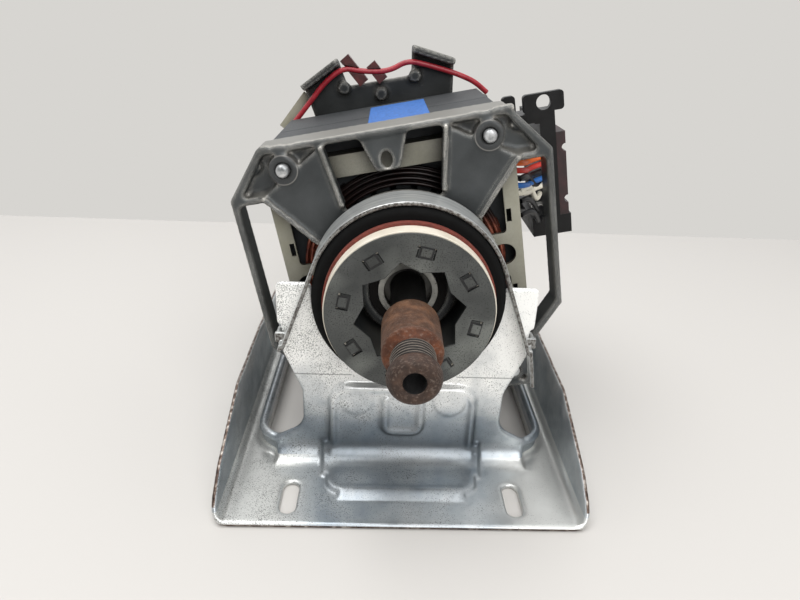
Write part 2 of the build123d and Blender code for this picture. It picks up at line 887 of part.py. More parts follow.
def wire_gap(path, turns_apart, samples):
    points = [path @ (step / samples) for step in range(samples + 1)]
    reach = int(samples * turns_apart)
    gaps = []
    for first in range(0, samples - reach, 2):
        gaps += [(points[first] - points[second]).length for second in range(first + reach, samples, 2)]
    return min(gaps) - 2 * wire_radius


wire = wire_line.wires()[0]
wire_loops = (len(spots) - 1) / 2
print("winding gap", round(wire_gap(wire, 1 / (2 * wire_loops), 800), 2), "loops", wire_loops)

# Blank tape across the top of the stack
with BuildPart() as stack_tape:
    with BuildSketch(turned(stack_front + tape_length)):
        with Locations(((tape_left + tape_right) / 2, stack_half_height)):
            Rectangle(tape_right - tape_left, tape_thick, align=(Align.CENTER, Align.MIN))
    extrude(amount=tape_length)
save(stack_tape, "stack_tape")

# Through bolts that clamp both shields to the stack, with their nuts behind
bolt_front = bolt_boss_front - bolt_radius
boss_rear = end_to_end - bolt_boss_front
with BuildPart() as through_bolts:
    with BuildSketch(turned(boss_rear + nut_thick + bolt_radius)):
        with GridLocations(2 * bolt_x, 2 * bolt_z, 2, 2):
            Circle(bolt_radius)
    extrude(amount=boss_rear + nut_thick + bolt_radius - bolt_front)
    fillet(through_bolts.edges().filter_by(GeomType.CIRCLE).group_by(Axis.Y)[0], radius=bolt_radius / 2)
save(through_bolts, "through_bolts")

with BuildPart() as bolt_nuts:
    with BuildSketch(turned(boss_rear + nut_thick)):
        with GridLocations(2 * bolt_x, 2 * bolt_z, 2, 2):
            RegularPolygon(nut_radius, 6)
            Circle(bolt_radius, mode=Mode.SUBTRACT)
    extrude(amount=nut_thick)
save(bolt_nuts, "bolt_nuts")

# Shaft: drilled tip, threaded neck, relief, thick collar and the journals
shaft_rear = end_to_end + rear_stub
shaft_steps = (
    (nose_tip, nose_tip - nose_tip_length, nose_radius),
    (nose_tip - nose_tip_length, thread_rear, thread_radius),
    (thread_rear, collar_front, relief_radius),
    (collar_front, collar_rear, collar_radius),
    (collar_rear, -end_to_end, journal),
    (-end_to_end, -shaft_rear, stub_radius),
)
with BuildPart() as shaft:
    for front, rear, radius in shaft_steps:
        with BuildSketch(level(-rear)):
            Circle(radius)
        extrude(amount=front - rear)
    widest = shaft.edges().filter_by(GeomType.CIRCLE).group_by(SortBy.RADIUS)[-1]
    fillet(widest.sort_by(Axis.Y)[-1], radius=collar_round)
    ends = shaft.edges().filter_by(GeomType.CIRCLE).sort_by(Axis.Y)
    chamfer([ends[0], ends[-1]], length=nose_chamfer)
    with BuildSketch(level(-nose_tip)):
        Circle(centre_hole)
    extrude(amount=-centre_depth, mode=Mode.SUBTRACT)
save(shaft, "shaft")

# Rotor: laminated core and a cast ring with fan blades on each face
rotor_front = stack_front + rotor_inset
rotor_rear = end_to_end - rotor_front
rotor_radius = stack_bore - air_gap
with BuildPart() as rotor_core:
    with BuildSketch(level(rotor_rear)):
        Circle(rotor_radius)
        Circle(journal, mode=Mode.SUBTRACT)
    extrude(amount=rotor_rear - rotor_front)
save(rotor_core, "rotor_core")

with BuildPart() as rotor_fan:
    with BuildSketch(level(rotor_front)):
        Circle(rotor_radius - air_gap)
        Circle(fan_ring_inner, mode=Mode.SUBTRACT)
    extrude(amount=fan_ring_depth)
    with BuildSketch(level(rotor_front - fan_ring_depth)):
        with PolarLocations((fan_ring_inner + rotor_radius - air_gap) / 2, fan_blade_count):
            Rectangle(rotor_radius - air_gap - fan_ring_inner - fan_blade_thick, fan_blade_thick)
    extrude(amount=fan_blade_depth)
save_pair(rotor_fan, "rotor_fan")

# Governor behind the rotor: carrier with ears and pins, two weights, and the sleeve that they draw in
carrier_rear = rotor_rear + carrier_thick
sleeve_front = carrier_rear + sleeve_travel + sleeve_stop
toe_y = sleeve_front + sleeve_flange + toe_gap + toe_radius
pivot_y = toe_y - toe_rise
with BuildPart() as governor_carrier:
    with BuildSketch(turned(carrier_rear)):
        Circle(carrier_radius)
        Circle(journal, mode=Mode.SUBTRACT)
    extrude(amount=carrier_thick)
    with BuildSketch(turned(pivot_y + ear_half)):
        ear_centre = ear_inner + ear_thick / 2
        with GridLocations(2 * weight_pivot, 2 * ear_centre, 2, 2):
            Rectangle(2 * ear_half, ear_thick)
    extrude(amount=pivot_y + ear_half - carrier_rear)
    for side in (-1, 1):
        pin_base = on_motor(side * weight_pivot, pivot_y, -ear_inner)
        with BuildSketch(Plane(origin=pin_base, x_dir=(0, 1, 0), z_dir=(-turn_z, 0, turn_x))):
            Circle(pivot_pin)
        extrude(amount=2 * ear_inner)
save(governor_carrier, "governor_carrier")


def governor_weight(side):
    base = on_motor(0, 0, -weight_half)
    upward = Plane(origin=base, x_dir=(side * turn_x, 0, side * turn_z), z_dir=(-turn_z, 0, turn_x))
    y_sign = upward.y_dir.Y
    with BuildPart() as weight:
        with BuildSketch(upward):
            with Locations((weight_inner, y_sign * (carrier_rear + weight_under + weight_depth / 2))):
                Rectangle(weight_outer - weight_inner, weight_depth, align=(Align.MIN, Align.CENTER))
            with Locations((weight_pivot, y_sign * pivot_y)):
                Circle(ear_half)
                Circle(pivot_pin + running_fit, mode=Mode.SUBTRACT)
        extrude(amount=2 * weight_half)
        toe_plane = upward.offset(weight_half - toe_half)
        with BuildSketch(toe_plane):
            wall_between((weight_pivot - ear_half + slip_gap, y_sign * (pivot_y + toe_rise / 2)),
                         (weight_pivot - toe_reach, y_sign * toe_y), toe_wall)
            with Locations((weight_pivot - toe_reach, y_sign * toe_y)):
                Circle(toe_radius)
        extrude(amount=2 * toe_half)
    return weight


for name, side in (("right_weight", 1), ("left_weight", -1)):
    save(governor_weight(side), name)

sleeve_rear = sleeve_front + sleeve_length
with BuildPart() as governor_sleeve:
    with BuildSketch(level(sleeve_rear)):
        Circle(journal + running_fit + sleeve_wall)
    extrude(amount=sleeve_length)
    with BuildSketch(level(sleeve_rear)):
        Circle(sleeve_rear_radius)
    extrude(amount=sleeve_flange)
    with BuildSketch(level(sleeve_front + sleeve_flange)):
        Circle(sleeve_front_radius)
    extrude(amount=sleeve_flange)
    with BuildSketch(level(sleeve_rear)):
        Circle(journal + running_fit)
    extrude(amount=sleeve_length, mode=Mode.SUBTRACT)
save(governor_sleeve, "governor_sleeve")

# Switch housing on the right side: column, foot, hanging eye, arm to the stack and lever bracket
lever_y = end_to_end - face_front - plate_thick - lever_back_gap - lever_thick / 2
switch_rear = switch_front + column_length
upright_axis = (-turn_z, 0, turn_x)


def lying(x, y, z):
    return Plane(origin=on_motor(x, y, z), x_dir=(turn_x, 0, turn_z), z_dir=upright_axis)


with BuildPart() as switch_housing:
    with BuildSketch(turned(switch_rear)):
        with Locations((column_inner, column_low)):
            Rectangle(column_outer - column_inner, column_high - column_low, align=(Align.MIN, Align.MIN))
        with Locations((foot_inner, column_low)):
            Rectangle(foot_outer - foot_inner, foot_high - column_low, align=(Align.MIN, Align.MIN))
    extrude(amount=column_length)
    with BuildSketch(turned(switch_front + ear_plate)) as eye:
        with Locations((ear_left, ear_low)):
            Rectangle(ear_right - ear_left, ear_high - ear_low, align=(Align.MIN, Align.MIN))
        fillet(eye.vertices(), radius=ear_corner)
        with Locations((neck_left, column_high - ear_corner)):
            Rectangle(neck_right - neck_left, ear_low - column_high + 2 * ear_corner, align=(Align.MIN, Align.MIN))
        with Locations((ear_hole_x, (ear_low + ear_high) / 2)):
            Circle(ear_hole_radius, mode=Mode.SUBTRACT)
    extrude(amount=ear_plate)
    with BuildSketch(turned(switch_front + arm_depth)):
        with Locations((stack_half_width, arm_low)):
            Rectangle(column_outer - stack_half_width, arm_high - arm_low, align=(Align.MIN, Align.MIN))
    extrude(amount=arm_depth)
    with BuildSketch(turned(switch_front + ear_plate)) as hook:
        with Locations((stack_half_width + slip_gap, arm_low)):
            Rectangle(hook_width, hook_high - arm_low, align=(Align.MIN, Align.MIN))
        fillet(hook.vertices().sort_by(Axis.Y)[-2:], radius=ear_corner)
    extrude(amount=ear_plate)
    with BuildSketch(lying(0, 0, bracket_low)) as bracket:
        with Locations((bracket_left, switch_rear - bracket_over)):
            Rectangle(bracket_right - bracket_left, lever_y + bracket_over - switch_rear + bracket_over,
                      align=(Align.MIN, Align.MIN))
        with Locations((bracket_left, switch_rear - 2 * bracket_over)):
            Rectangle(column_inner - bracket_left, bracket_over, align=(Align.MIN, Align.MIN))
    extrude(amount=bracket_high - bracket_low)
    with BuildSketch(lying(lever_pivot_x, lever_y, bracket_high)):
        Circle(lever_pin)
    extrude(amount=lever_high + bracket_over - bracket_high)
save(switch_housing, "switch_housing")

with BuildPart() as terminal_board:
    with BuildSketch(turned(switch_rear)):
        with Locations((column_outer, board_low)):
            Rectangle(board_outer - column_outer, board_high - board_low, align=(Align.MIN, Align.MIN))
        with Locations((board_outer, board_high - 4 * board_notch), (board_outer, board_low + 4 * board_notch)):
            Circle(board_notch, mode=Mode.SUBTRACT)
    extrude(amount=column_length)
save(terminal_board, "terminal_board")

with BuildPart() as spare_blades:
    with BuildSketch(turned(switch_front + 2 * blade_height)):
        with GridLocations(0, 2 * blade_height, 1, 2, align=(Align.CENTER, Align.MIN)):
            with Locations((column_inner - blade_length / 2, foot_high + blade_height)):
                Rectangle(blade_length, blade_thick)
    extrude(amount=blade_height)
save(spare_blades, "spare_blades")

# Switch lever: a hub on the bracket's pin and an arm that ends in a pad behind the sleeve
pad_front_y = sleeve_rear + lever_gap
with BuildPart() as switch_lever:
    with BuildSketch(lying(0, 0, lever_low)):
        with Locations((lever_tip_x, lever_y)):
            Rectangle(lever_pivot_x - lever_tip_x, lever_thick, align=(Align.MIN, Align.CENTER))
        with Locations((lever_pivot_x, lever_y)):
            Circle(lever_hub)
            Circle(lever_pin + running_fit, mode=Mode.SUBTRACT)
    extrude(amount=lever_high - lever_low)
    with BuildSketch(lying(0, 0, -lever_pad)):
        with Locations((lever_tip_x - lever_pad, pad_front_y)):
            Rectangle(2 * lever_pad, lever_y + lever_thick / 2 - pad_front_y, align=(Align.MIN, Align.MIN))
    extrude(amount=lever_high + lever_pad)
save(switch_lever, "switch_lever")


# Signal leads: from the frame's side wall to the column, one under another
def lead_solid(points, radius):
    runs = [(Vector(*b) - Vector(*a)).length for a, b in zip(points, points[1:])]
    radii = []
    for place in range(1, len(points) - 1):
        before = Vector(*points[place]) - Vector(*points[place - 1])
        after = Vector(*points[place + 1]) - Vector(*points[place])
        half_turn = radians(before.get_angle(after)) / 2
        radii.append(signal_radius_share * min(runs[place - 1], runs[place]) / tan(half_turn))
    with BuildPart() as lead:
        with BuildLine() as centre_line:
            FilletPolyline(*points, radius=radii)
        with BuildSketch(Plane(origin=centre_line.wires()[0] @ 0, z_dir=centre_line.wires()[0] % 0)):
            Circle(radius)
        sweep(path=centre_line.wires()[0])
    return lead, radii


def upright_wall(x):
    return Plane(origin=on_motor(x, 0, 0), z_dir=(turn_x, 0, turn_z))


for place, colour in enumerate(signal_colours):
    height = signal_top - place * signal_step
    route = [
        on_motor(frame_half_width - frame_wall, lead_start_y, height - signal_drop),
        on_motor(frame_half_width + lead_swing, lead_start_y + lead_swing / 2, height - signal_drop / 2),
        on_motor(foot_inner, switch_front - lead_swing, height),
        on_motor(column_inner + frame_wall, switch_front + lead_swing / 2, height + signal_drop / 4),
    ]
    whole, radii = lead_solid(route, signal_radius)
    with BuildPart() as lead:
        add(whole.part)
        split(bisect_by=upright_wall(frame_half_width + slip_gap), keep=Keep.TOP)
        split(bisect_by=upright_wall(column_inner - slip_gap), keep=Keep.BOTTOM)
    save(lead, "lead_" + colour)
    print("lead", colour, [round(radius, 1) for radius in radii])

# Red lead over the wings, its two clips, and the cream strip beside it
lead_route = [
    on_motor(-42.0, 109.0, 53.0),
    on_motor(-36.9, 107.6, 57.2),
    on_motor(-24.0, 107.0, 68.2),
    on_motor(-15.0, 107.0, 72.9),
    on_motor(-5.5, 107.0, 69.6),
    on_motor(5.0, 107.0, 68.2),
    on_motor(14.0, 107.0, 71.2),
    on_motor(24.0, 107.0, 67.2),
    on_motor(34.5, 107.4, 62.2),
    on_motor(42.0, 108.4, 57.6),
    on_motor(47.2, 110.0, 51.8),
]
top_lead, radii = lead_solid(lead_route, lead_radius)
save(top_lead, "top_lead")
print("top lead", [round(radius, 1) for radius in radii])

for name, (x, z, height), start in zip(("left_clip", "right_clip"), clip_places, (3, 4)):
    run = Vector(*lead_route[start + 1]) - Vector(*lead_route[start])
    with BuildPart() as clip:
        with BuildSketch(turned(wing_front)):
            with Locations((x, z)):
                Rectangle(clip_width, height, rotation=clip_lean)
        extrude(amount=clip_depth)
        with BuildSketch(Plane(origin=lead_route[start], z_dir=run)):
            Circle(lead_radius + lead_gap)
        extrude(amount=run.length, mode=Mode.SUBTRACT)
    save(clip, name)

with BuildPart() as cable_strip:
    with BuildSketch(turned(strip_rear)):
        wall_between(strip_low, strip_high, strip_wide)
        with BuildLine():
            Polyline(
                (0, rear_rim_half + slip_gap),
                (-shield_half_width, rear_rim_half + slip_gap),
                (-bar_half - slip_gap, bar_top + slip_gap),
                (-bar_half, 0),
                (0, 0),
                close=True,
            )
        make_face(mode=Mode.SUBTRACT)
    extrude(amount=strip_thick)
save(cable_strip, "cable_strip")
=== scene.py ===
import math

import bmesh
import bpy
from mathutils import Matrix, Vector


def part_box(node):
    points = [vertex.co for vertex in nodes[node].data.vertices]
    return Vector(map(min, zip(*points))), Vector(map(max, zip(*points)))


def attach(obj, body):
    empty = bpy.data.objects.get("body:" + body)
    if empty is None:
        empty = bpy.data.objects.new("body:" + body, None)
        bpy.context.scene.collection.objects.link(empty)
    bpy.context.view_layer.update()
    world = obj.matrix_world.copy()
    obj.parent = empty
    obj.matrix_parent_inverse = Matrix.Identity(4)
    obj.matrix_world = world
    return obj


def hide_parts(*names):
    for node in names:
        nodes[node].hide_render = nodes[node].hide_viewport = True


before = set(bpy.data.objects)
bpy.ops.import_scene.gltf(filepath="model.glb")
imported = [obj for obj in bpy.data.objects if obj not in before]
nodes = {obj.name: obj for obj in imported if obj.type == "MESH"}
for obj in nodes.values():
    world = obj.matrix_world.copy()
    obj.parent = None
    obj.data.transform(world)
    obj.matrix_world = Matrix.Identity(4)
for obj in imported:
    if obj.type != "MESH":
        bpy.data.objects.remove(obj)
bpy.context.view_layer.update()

motorTurn = math.radians(11.5)  # how far the motor body is turned on its shaft
motorLength = 154.0  # between the two discs' faces, in millimetres
discPlane = 0.0056  # y of the front retainer disc's face
shaftHeight = 0.075
middle = 0.0826  # y of the bracket's mid plane
print("stage: frame loaded,", len(nodes), "nodes")

# settings that many nodes share
asColour = {"data_type": "RGBA"}
multiply = {"operation": "MULTIPLY"}
multiplyAdd = {"operation": "MULTIPLY_ADD"}
subtract = {"operation": "SUBTRACT"}
absolute = {"operation": "ABSOLUTE"}
compare = {"operation": "COMPARE"}
lessThan = {"operation": "LESS_THAN"}
greaterThan = {"operation": "GREATER_THAN"}


def onMotor(x, y, z):
    # a place on the turned motor body, in millimetres from the shaft and from the disc's face
    across = x * math.cos(motorTurn) - z * math.sin(motorTurn)
    up = x * math.sin(motorTurn) + z * math.cos(motorTurn)
    return Vector((across, y, up)) / 1000 + Vector((0, discPlane, shaftHeight))


def srgb(code):
    parts = [int(code[i:i + 2], 16) / 255 for i in (1, 3, 5)]
    return tuple(p / 12.92 if p <= 0.04045 else ((p + 0.055) / 1.055) ** 2.4 for p in parts) + (1.0,)


def addNode(tree, kind, settings=None, inputs=None, out=0):
    # settings are the node's own, inputs hold a number, a colour code or another node's output
    node = tree.nodes.new(kind)
    for key, value in (settings or {}).items():
        if key == "stops":
            elements = node.color_ramp.elements
            for i, (place, colour) in enumerate(value):
                element = elements[i] if i < 2 else elements.new(place)
                element.position = place
                element.color = srgb(colour)
        else:
            setattr(node, key, value)
    for key, value in (inputs or {}).items():
        if isinstance(value, bpy.types.NodeSocket):
            tree.links.new(value, node.inputs[key])
        else:
            node.inputs[key].default_value = srgb(value) if isinstance(value, str) else value
    return node.outputs[out]


def newMaterial(name, metallic=0.0, roughness=0.5):
    material = bpy.data.materials.new(name)
    material.use_nodes = True
    tree = material.node_tree
    shader = tree.nodes["Principled BSDF"]
    shader.inputs["Metallic"].default_value = metallic
    shader.inputs["Roughness"].default_value = roughness
    return material, tree, shader, addNode(tree, "ShaderNodeTexCoord", out="Object")


def finishMaterial(tree, shader, colour, roughness=None, height=None, depth=0.0001, edge=0.0):
    # joins the finish to the shader: its colour, its roughness and a relief over softened edges
    tree.links.new(colour, shader.inputs["Base Color"])
    if roughness is not None:
        tree.links.new(roughness, shader.inputs["Roughness"])
    relief = {"Height": height, "Strength": 1.0, "Distance": depth}
    if edge:
        relief["Normal"] = addNode(tree, "ShaderNodeBevel", {"samples": 4}, {"Radius": edge})
    tree.links.new(addNode(tree, "ShaderNodeBump", {}, relief), shader.inputs["Normal"])


def edgeBand(tree, radius, low=0.02, high=0.22):
    # 1 along outer and inner edges, 0 on flat faces
    soft = addNode(tree, "ShaderNodeBevel", {"samples": 6}, {"Radius": radius})
    flat = addNode(tree, "ShaderNodeNewGeometry", out="Normal")
    same = addNode(tree, "ShaderNodeVectorMath", {"operation": "DOT_PRODUCT"}, {0: soft, 1: flat},
                   out="Value")
    return addNode(tree, "ShaderNodeMapRange", {},
                   {"Value": same, "From Min": 1 - low, "From Max": 1 - high})


def darkRecesses(tree, colour, distance, clear, share, tone):
    # grime and shade where other surfaces stand close
    hidden = addNode(tree, "ShaderNodeAmbientOcclusion", {"samples": 6}, {"Distance": distance}, out="AO")
    hidden = addNode(tree, "ShaderNodeMapRange", {}, {"Value": hidden, "From Min": 0.25, "From Max": clear,
                                                      "To Min": share, "To Max": 0.0})
    return addNode(tree, "ShaderNodeMix", asColour, {0: hidden, 6: colour, 7: tone}, out=2)


def distanceFromAxis(tree, place, axis):
    # how far a place is from a line along y, from the shaft's or a bolt's centre
    flat = addNode(tree, "ShaderNodeVectorMath", subtract, {0: place, 1: axis})
    flat = addNode(tree, "ShaderNodeVectorMath", multiply, {0: flat, 1: (1.0, 0.0, 1.0)})
    return addNode(tree, "ShaderNodeVectorMath", {"operation": "LENGTH"}, {0: flat}, out="Value")


def dress(material, *names):
    for name in names:
        mesh = nodes[name].data
        mesh.materials.clear()
        mesh.materials.append(material)


def both(name):
    return "front_" + name, "rear_" + name


def newPiece(name, mesh, material, body, replaced=None):
    # a finished mesh as an object at the origin, which moves with a body
    mesh.name = name
    mesh.materials.clear()
    mesh.materials.append(material)
    piece = bpy.data.objects.new(name, mesh)
    bpy.context.scene.collection.objects.link(piece)
    if replaced:
        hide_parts(replaced)
    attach(piece, body)


def bakedMesh(rough):
    # the plain mesh of a curve or of an object with modifiers, which is then removed
    bpy.context.scene.collection.objects.link(rough)
    graph = bpy.context.evaluated_depsgraph_get()
    mesh = bpy.data.meshes.new_from_object(rough.evaluated_get(graph), depsgraph=graph)
    bpy.data.objects.remove(rough)
    return mesh


# In the dictionaries below a scale counts features in a metre; sizes and places are in metres.

# Zinc-plated sheet steel: speckled on the upright so that it looks dusty, pale there as a painted reflection
# of the bright room, bluer on the pan, darkest at the panel's foot as a painted dark reflection, with rust
# on the raw cut edges
zincLook = {"pale": "#FAFAF7", "paleLow": "#D9DBDA", "grey": "#C3C7C9", "between": "#ADB3B7",
            "blue": "#8C959D", "strip": "#D3D4D1", "paintedSheen": "#3C454D", "speck": "#454644",
            "crease": "#4A4C4D", "rust": ("#352B27", "#5F5048", "#A7A19A"),
            "grainSize": 0.00042, "cloudSize": 0.02, "patchScale": 95.0, "rustScale": 420.0,
            "relief": 0.00035,
            "creaseHeight": 0.0405, "creaseHalf": 0.00022, "creaseSide": 0.020, "creaseShare": 0.55,
            "speckFrom": 0.755, "speckFull": 0.82, "speckShare": 0.7, "speckPatch": 0.30,
            "speckPale": 0.04, "speckLean": -0.9,
            "paleFrom": 0.036, "paleFull": 0.056, "stripFrom": 0.030, "stripFull": 0.044, "panTop": 0.0045,
            "sheenFull": 0.030, "sheenEnd": 0.052, "sheenLow": 0.002, "sheenRise": 0.010, "sheenTop": 0.011,
            "sheenGone": 0.030, "sheenShare": 0.85,
            "flangeSide": 0.0661, "flangeFoot": 0.0058, "panEnd": 0.0885, "underside": 0.0012}


def zincSheet():
    material, tree, shader, place = newMaterial("zincPlatedSteel", metallic=0.72, roughness=0.34)
    look = zincLook
    at = addNode(tree, "ShaderNodeSeparateXYZ", {}, {0: place})
    height = at.node.outputs["Z"]
    side = addNode(tree, "ShaderNodeMath", absolute, {0: at})
    cloud = addNode(tree, "ShaderNodeTexNoise", {}, {"Vector": place, "Scale": 1 / look["cloudSize"],
                                                     "Detail": 4.0, "Roughness": 0.6})
    patch = addNode(tree, "ShaderNodeTexNoise", {},
                    {"Vector": place, "Scale": look["patchScale"], "Detail": 3.0})
    grain = addNode(tree, "ShaderNodeTexNoise", {}, {"Vector": place, "Scale": 1 / look["grainSize"],
                                                     "Detail": 2.0, "Roughness": 0.65})
    # the upright is paler towards its top: a painted reflection of the bright room
    pale = addNode(tree, "ShaderNodeMath", multiplyAdd, {0: patch, 1: 0.03, 2: height})
    pale = addNode(tree, "ShaderNodeMapRange", {}, {"Value": pale, "From Min": look["paleFrom"],
                                                    "From Max": look["paleFull"]})
    lowStops = ((0.3, look["blue"]), (0.5, look["between"]), (0.66, look["grey"]))
    lowTone = addNode(tree, "ShaderNodeValToRGB", {"stops": lowStops}, {"Fac": cloud})
    paleStops = ((0.28, look["paleLow"]), (0.5, look["pale"]))
    paleTone = addNode(tree, "ShaderNodeValToRGB", {"stops": paleStops}, {"Fac": cloud})
    colour = addNode(tree, "ShaderNodeMix", asColour, {0: pale, 6: lowTone, 7: paleTone}, out=2)
    # the pan's outer strips are paler than its middle
    strip = addNode(tree, "ShaderNodeMapRange", {}, {"Value": side, "From Min": look["stripFrom"],
                                                     "From Max": look["stripFull"]})
    low = addNode(tree, "ShaderNodeMath", lessThan, {0: height, 1: look["panTop"]})
    strip = addNode(tree, "ShaderNodeMath", multiply, {0: strip, 1: low})
    colour = addNode(tree, "ShaderNodeMix", asColour, {0: strip, 6: colour, 7: look["strip"]}, out=2)
    # a painted dark reflection at the drawn foot of the panel, darker and bluer
    inner = addNode(tree, "ShaderNodeMapRange", {},
                    {"Value": side, "From Min": look["sheenFull"], "From Max": look["sheenEnd"],
                     "To Min": 1.0, "To Max": 0.0})
    foot = addNode(tree, "ShaderNodeMapRange", {},
                   {"Value": height, "From Min": look["sheenTop"], "From Max": look["sheenGone"],
                    "To Min": look["sheenShare"], "To Max": 0.0})
    rising = addNode(tree, "ShaderNodeMapRange", {},
                     {"Value": height, "From Min": look["sheenLow"], "From Max": look["sheenRise"],
                      "To Min": 0.12})
    paintedSheen = addNode(tree, "ShaderNodeMath", multiply, {0: foot, 1: rising})
    paintedSheen = addNode(tree, "ShaderNodeMath", multiply, {0: inner, 1: paintedSheen})
    colour = addNode(tree, "ShaderNodeMix", asColour, {0: paintedSheen, 6: colour, 7: look["paintedSheen"]}, out=2)
    # pin specks, denser in patches, on the upright and towards the left
    dense = addNode(tree, "ShaderNodeMath", multiplyAdd, {0: patch, 1: look["speckPatch"], 2: grain})
    dense = addNode(tree, "ShaderNodeMath", multiplyAdd, {0: pale, 1: look["speckPale"], 2: dense})
    dense = addNode(tree, "ShaderNodeMath", multiplyAdd,
                    {0: at.node.outputs["X"], 1: look["speckLean"], 2: dense})
    speck = addNode(tree, "ShaderNodeMapRange", {},
                    {"Value": dense, "From Min": look["speckFrom"], "From Max": look["speckFull"],
                     "To Max": look["speckShare"]})
    colour = addNode(tree, "ShaderNodeMix", asColour, {0: speck, 6: colour, 7: look["speck"]}, out=2)
    # score line across the upright where the press tool struck
    crease = addNode(tree, "ShaderNodeMath", compare,
                     {0: height, 1: look["creaseHeight"], 2: look["creaseHalf"]})
    outer = addNode(tree, "ShaderNodeMath", greaterThan, {0: side, 1: look["creaseSide"]})
    crease = addNode(tree, "ShaderNodeMath", multiply, {0: crease, 1: outer})
    creaseTone = addNode(tree, "ShaderNodeMath", multiply, {0: crease, 1: look["creaseShare"]})
    colour = addNode(tree, "ShaderNodeMix", asColour, {0: creaseTone, 6: colour, 7: look["crease"]}, out=2)
    # raw edges: the flanges' tops, and the front and rear edges of the pan
    facing = addNode(tree, "ShaderNodeSeparateXYZ", {},
                     {0: addNode(tree, "ShaderNodeTexCoord", out="Normal")})
    top = addNode(tree, "ShaderNodeMath", greaterThan, {0: facing.node.outputs["Z"], 1: 0.25})
    beyond = addNode(tree, "ShaderNodeMath", greaterThan, {0: side, 1: look["flangeSide"]})
    above = addNode(tree, "ShaderNodeMath", greaterThan, {0: height, 1: look["flangeFoot"]})
    topEdge = addNode(tree, "ShaderNodeMath", multiply, {0: top, 1: beyond})
    topEdge = addNode(tree, "ShaderNodeMath", multiply, {0: topEdge, 1: above})
    normalY = addNode(tree, "ShaderNodeMath", absolute, {0: facing.node.outputs["Y"]})
    endFace = addNode(tree, "ShaderNodeMath", greaterThan, {0: normalY, 1: 0.6})
    away = addNode(tree, "ShaderNodeMath", subtract, {0: at.node.outputs["Y"], 1: middle})
    away = addNode(tree, "ShaderNodeMath", absolute, {0: away})
    atEnd = addNode(tree, "ShaderNodeMath", greaterThan, {0: away, 1: look["panEnd"]})
    under = addNode(tree, "ShaderNodeMath", lessThan, {0: height, 1: look["underside"]})
    atEnd = addNode(tree, "ShaderNodeMath", multiply, {0: atEnd, 1: under})
    endEdge = addNode(tree, "ShaderNodeMath", multiply, {0: endFace, 1: atEnd})
    raw = addNode(tree, "ShaderNodeMath", {"operation": "MAXIMUM"}, {0: topEdge, 1: endEdge})
    rustGrain = addNode(tree, "ShaderNodeTexNoise", {},
                        {"Vector": place, "Scale": look["rustScale"], "Detail": 3.0, "Roughness": 0.6})
    rustStops = tuple(zip((0.3, 0.5, 0.68), look["rust"]))
    rustTone = addNode(tree, "ShaderNodeValToRGB", {"stops": rustStops}, {"Fac": rustGrain})
    colour = addNode(tree, "ShaderNodeMix", asColour, {0: raw, 6: colour, 7: rustTone}, out=2)
    rough = addNode(tree, "ShaderNodeMapRange", {}, {"Value": patch, "From Min": 0.3, "From Max": 0.7,
                                                     "To Min": 0.28, "To Max": 0.44})
    relief = addNode(tree, "ShaderNodeMath", multiplyAdd, {0: crease, 1: -1.0, 2: cloud})
    # the dusty upright mirrors less than the pan
    mirrored = addNode(tree, "ShaderNodeMapRange", {}, {"Value": pale, "To Min": 0.78, "To Max": 0.28})
    tree.links.new(mirrored, shader.inputs["Metallic"])
    finishMaterial(tree, shader, colour, rough, relief, look["relief"])
    return material


bracketZinc = zincSheet()
dress(bracketZinc, "base_bracket")

# Bright zinc-plated strap: streaks drawn along the band, and a dark speckled cut edge
strapLook = {"low": "#A9ACAC", "high": "#D0D2D0", "edge": ("#4E4946", "#8B8B88"), "streakScale": 55.0,
             "edgeGrainScale": 1300.0, "relief": 0.00006}


def brightZinc():
    material, tree, shader, place = newMaterial("brightZincPlate", metallic=0.6, roughness=0.3)
    look = strapLook
    stretched = addNode(tree, "ShaderNodeMapping", {}, {"Vector": place, "Scale": (1.0, 14.0, 1.0)})
    streak = addNode(tree, "ShaderNodeTexNoise", {}, {"Vector": stretched, "Scale": look["streakScale"],
                                                      "Detail": 4.0, "Roughness": 0.6})
    stops = ((0.34, look["low"]), (0.6, look["high"]))
    colour = addNode(tree, "ShaderNodeValToRGB", {"stops": stops}, {"Fac": streak})
    facing = addNode(tree, "ShaderNodeSeparateXYZ", {},
                     {0: addNode(tree, "ShaderNodeTexCoord", out="Normal")})
    cut = addNode(tree, "ShaderNodeMath", lessThan, {0: facing.node.outputs["Y"], 1: -0.7})
    grain = addNode(tree, "ShaderNodeTexNoise", {}, {"Vector": place, "Scale": look["edgeGrainScale"],
                                                     "Detail": 2.0})
    edgeStops = ((0.40, look["edge"][0]), (0.56, look["edge"][1]))
    edgeTone = addNode(tree, "ShaderNodeValToRGB", {"stops": edgeStops}, {"Fac": grain})
    colour = addNode(tree, "ShaderNodeMix", asColour, {0: cut, 6: colour, 7: edgeTone}, out=2)
    finishMaterial(tree, shader, colour, None, streak, look["relief"])
    return material


strapZinc = brightZinc()
dress(strapZinc, *both("mount_clamp"))

# Retainer disc: dull galvanised sheet with fine dark specks and paler wipes
discLook = {"low": "#404241", "high": "#555755", "wipe": "#858883", "speck": "#262625", "edge": "#3F4040",
            "cloudScale": 90.0, "wipeScale": 38.0, "speckScale": 2300.0, "relief": 0.00015}


